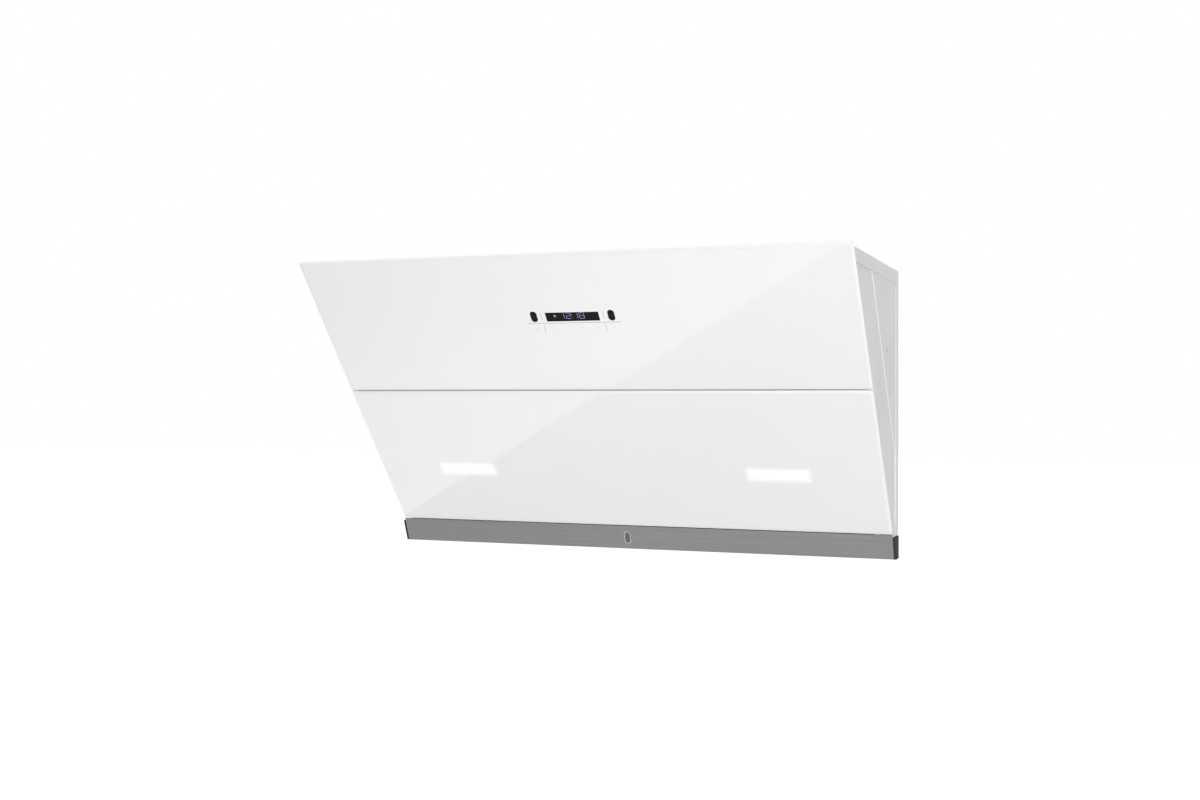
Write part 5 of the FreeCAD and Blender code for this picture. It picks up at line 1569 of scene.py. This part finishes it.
@dataclass
class Studio:
    """The camera at the photograph's place, the pale floor, the lamps and the world.

    Attributes:
        eye: The camera's place.
        heading: The camera's turn to the left of straight ahead, in degrees.
        pitch: Its tilt upwards, in radians.
        roll: Its turn about its own axis, in radians.
        lens: Its focal length in millimetres.
        film: Width of its film in millimetres.
        shift: Its upward shift as a share of the frame's width.
        sight: How far it sees.
        floor_height: Height of the floor.
        floor_reach: Half the floor's width.
        floor_tone: The floor's own level of grey.
        floor_lift: What brings the floor up to white in the view.
        lamps: The soft lamps in front, on the right and overhead.
        aim: The spot on the hood that the lamps face.
        card: The card that the glass reflects.
        ambience: The world's level for everything but the view.
    """

    eye: Point = (0.7895, -2.3433, -0.0872)
    heading: float = 20.747
    pitch: float = -0.0001
    roll: float = 0.0008
    lens: float = 41.118
    film: float = 36.0
    shift: float = -1.2 / 1200
    sight: float = 100.0
    floor_height: float = -1.5
    floor_reach: float = 30.0
    floor_tone: float = 0.8
    floor_lift: float = 0.62
    lamps: tuple[StudioLamp, ...] = (
        StudioLamp("key_lamp", (1.0, -3.0, -1.2), size=2.4, power=68.0),
        StudioLamp("fill_lamp", (3.2, -1.2, 0.6), size=1.6, power=3.0),
        StudioLamp("top_lamp", (0.1, -1.3, 2.4), size=2.0, power=28.0),
    )
    aim: Point = (0.0, -0.25, -0.1)
    card: ReflectorCard = ReflectorCard()
    ambience: float = 0.57

    def camera(self) -> None:
        """Sets the camera where the photograph was taken."""
        data = bpy.data.cameras.new("studio_camera")
        data.lens = self.lens
        data.sensor_fit = "HORIZONTAL"
        data.sensor_width = self.film
        data.shift_y = self.shift
        data.clip_end = self.sight
        camera = bpy.data.objects.new("studio_camera", data)
        turn = Matrix.Rotation(math.radians(self.heading), 4, "Z")
        tilt = Matrix.Rotation(math.pi / 2 + self.pitch, 4, "X")
        roll = Matrix.Rotation(self.roll, 4, "Z")
        camera.matrix_world = Matrix.Translation(self.eye) @ turn @ tilt @ roll
        bpy.context.scene.collection.objects.link(camera)
        bpy.context.scene.camera = camera

    def seen(self, sheet: NodeSheet) -> Socket:
        """Gives one for rays of the view, of reflections and through glass.

        Args:
            sheet: The nodes that it joins.

        Returns:
            The socket with the answer.
        """
        path = sheet.add("ShaderNodeLightPath").outputs
        either = sheet.math("MAXIMUM", path["Is Camera Ray"], path["Is Glossy Ray"])
        return sheet.math("MAXIMUM", either, path["Is Transmission Ray"])

    def world(self) -> None:
        """Sets a white world that lights the hood at a plain level."""
        world = bpy.data.worlds.new("studio_world")
        world.use_nodes = True
        sheet = NodeSheet(world.node_tree)
        ground = sheet.add("ShaderNodeBackground")
        level = sheet.spread(self.seen(sheet), (0.0, 1.0), (self.ambience, 1.0))
        sheet.feed(ground, {"Color": linear(WHITE), "Strength": level})
        output = sheet.add("ShaderNodeOutputWorld")
        sheet.join(ground.outputs["Background"], output.inputs["Surface"])
        bpy.context.scene.world = world

    def floor(self) -> None:
        """Lays a pale floor that reads white, keeps the hood's shadow and is clear from below."""
        mesh = bmesh.new()
        bmesh.ops.create_grid(mesh, x_segments=4, y_segments=4, size=self.floor_reach)
        bmesh.ops.translate(mesh, verts=mesh.verts, vec=(0.0, 0.0, self.floor_height))
        sheet = MaterialSheet("studio_floor")
        matt = sheet.add("ShaderNodeBsdfDiffuse")
        sheet.feed(matt, {"Color": (self.floor_tone, self.floor_tone, self.floor_tone, 1.0)})
        lift = sheet.add("ShaderNodeEmission")
        sheet.feed(lift, {"Strength": sheet.math("MULTIPLY", self.seen(sheet), self.floor_lift)})
        both = sheet.add("ShaderNodeAddShader")
        sheet.feed(both, {0: matt.outputs["BSDF"], 1: lift.outputs["Emission"]})
        under = sheet.add("ShaderNodeMixShader")
        sheet.feed(under, {0: sheet.add("ShaderNodeNewGeometry").outputs["Backfacing"],
                           1: both.outputs["Shader"],
                           2: sheet.add("ShaderNodeBsdfTransparent").outputs["BSDF"]})
        sheet.join(under.outputs["Shader"], sheet.surface)
        floor = make_object("studio_floor", mesh, sheet.material)

    def build(self) -> None:
        """Sets up the whole studio."""
        bpy.context.scene.view_settings.view_transform = "Standard"
        self.camera()
        self.world()
        self.floor()
        for lamp in self.lamps:
            lamp.hang(self.aim)
        self.card.lay(self.floor_height)


def main() -> None:
    """Builds the dressed hood in order and reports each piece."""
    logging.basicConfig(level=logging.INFO, format="%(message)s")
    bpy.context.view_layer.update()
    Studio().build()
    CadDress().dress()
    ClockDisplay().build()
    GlassPrint().build()
    CrossScrews().build()
    CordGland().build()
    FlapBumpers().build()


if __name__ == "__main__":
    main()
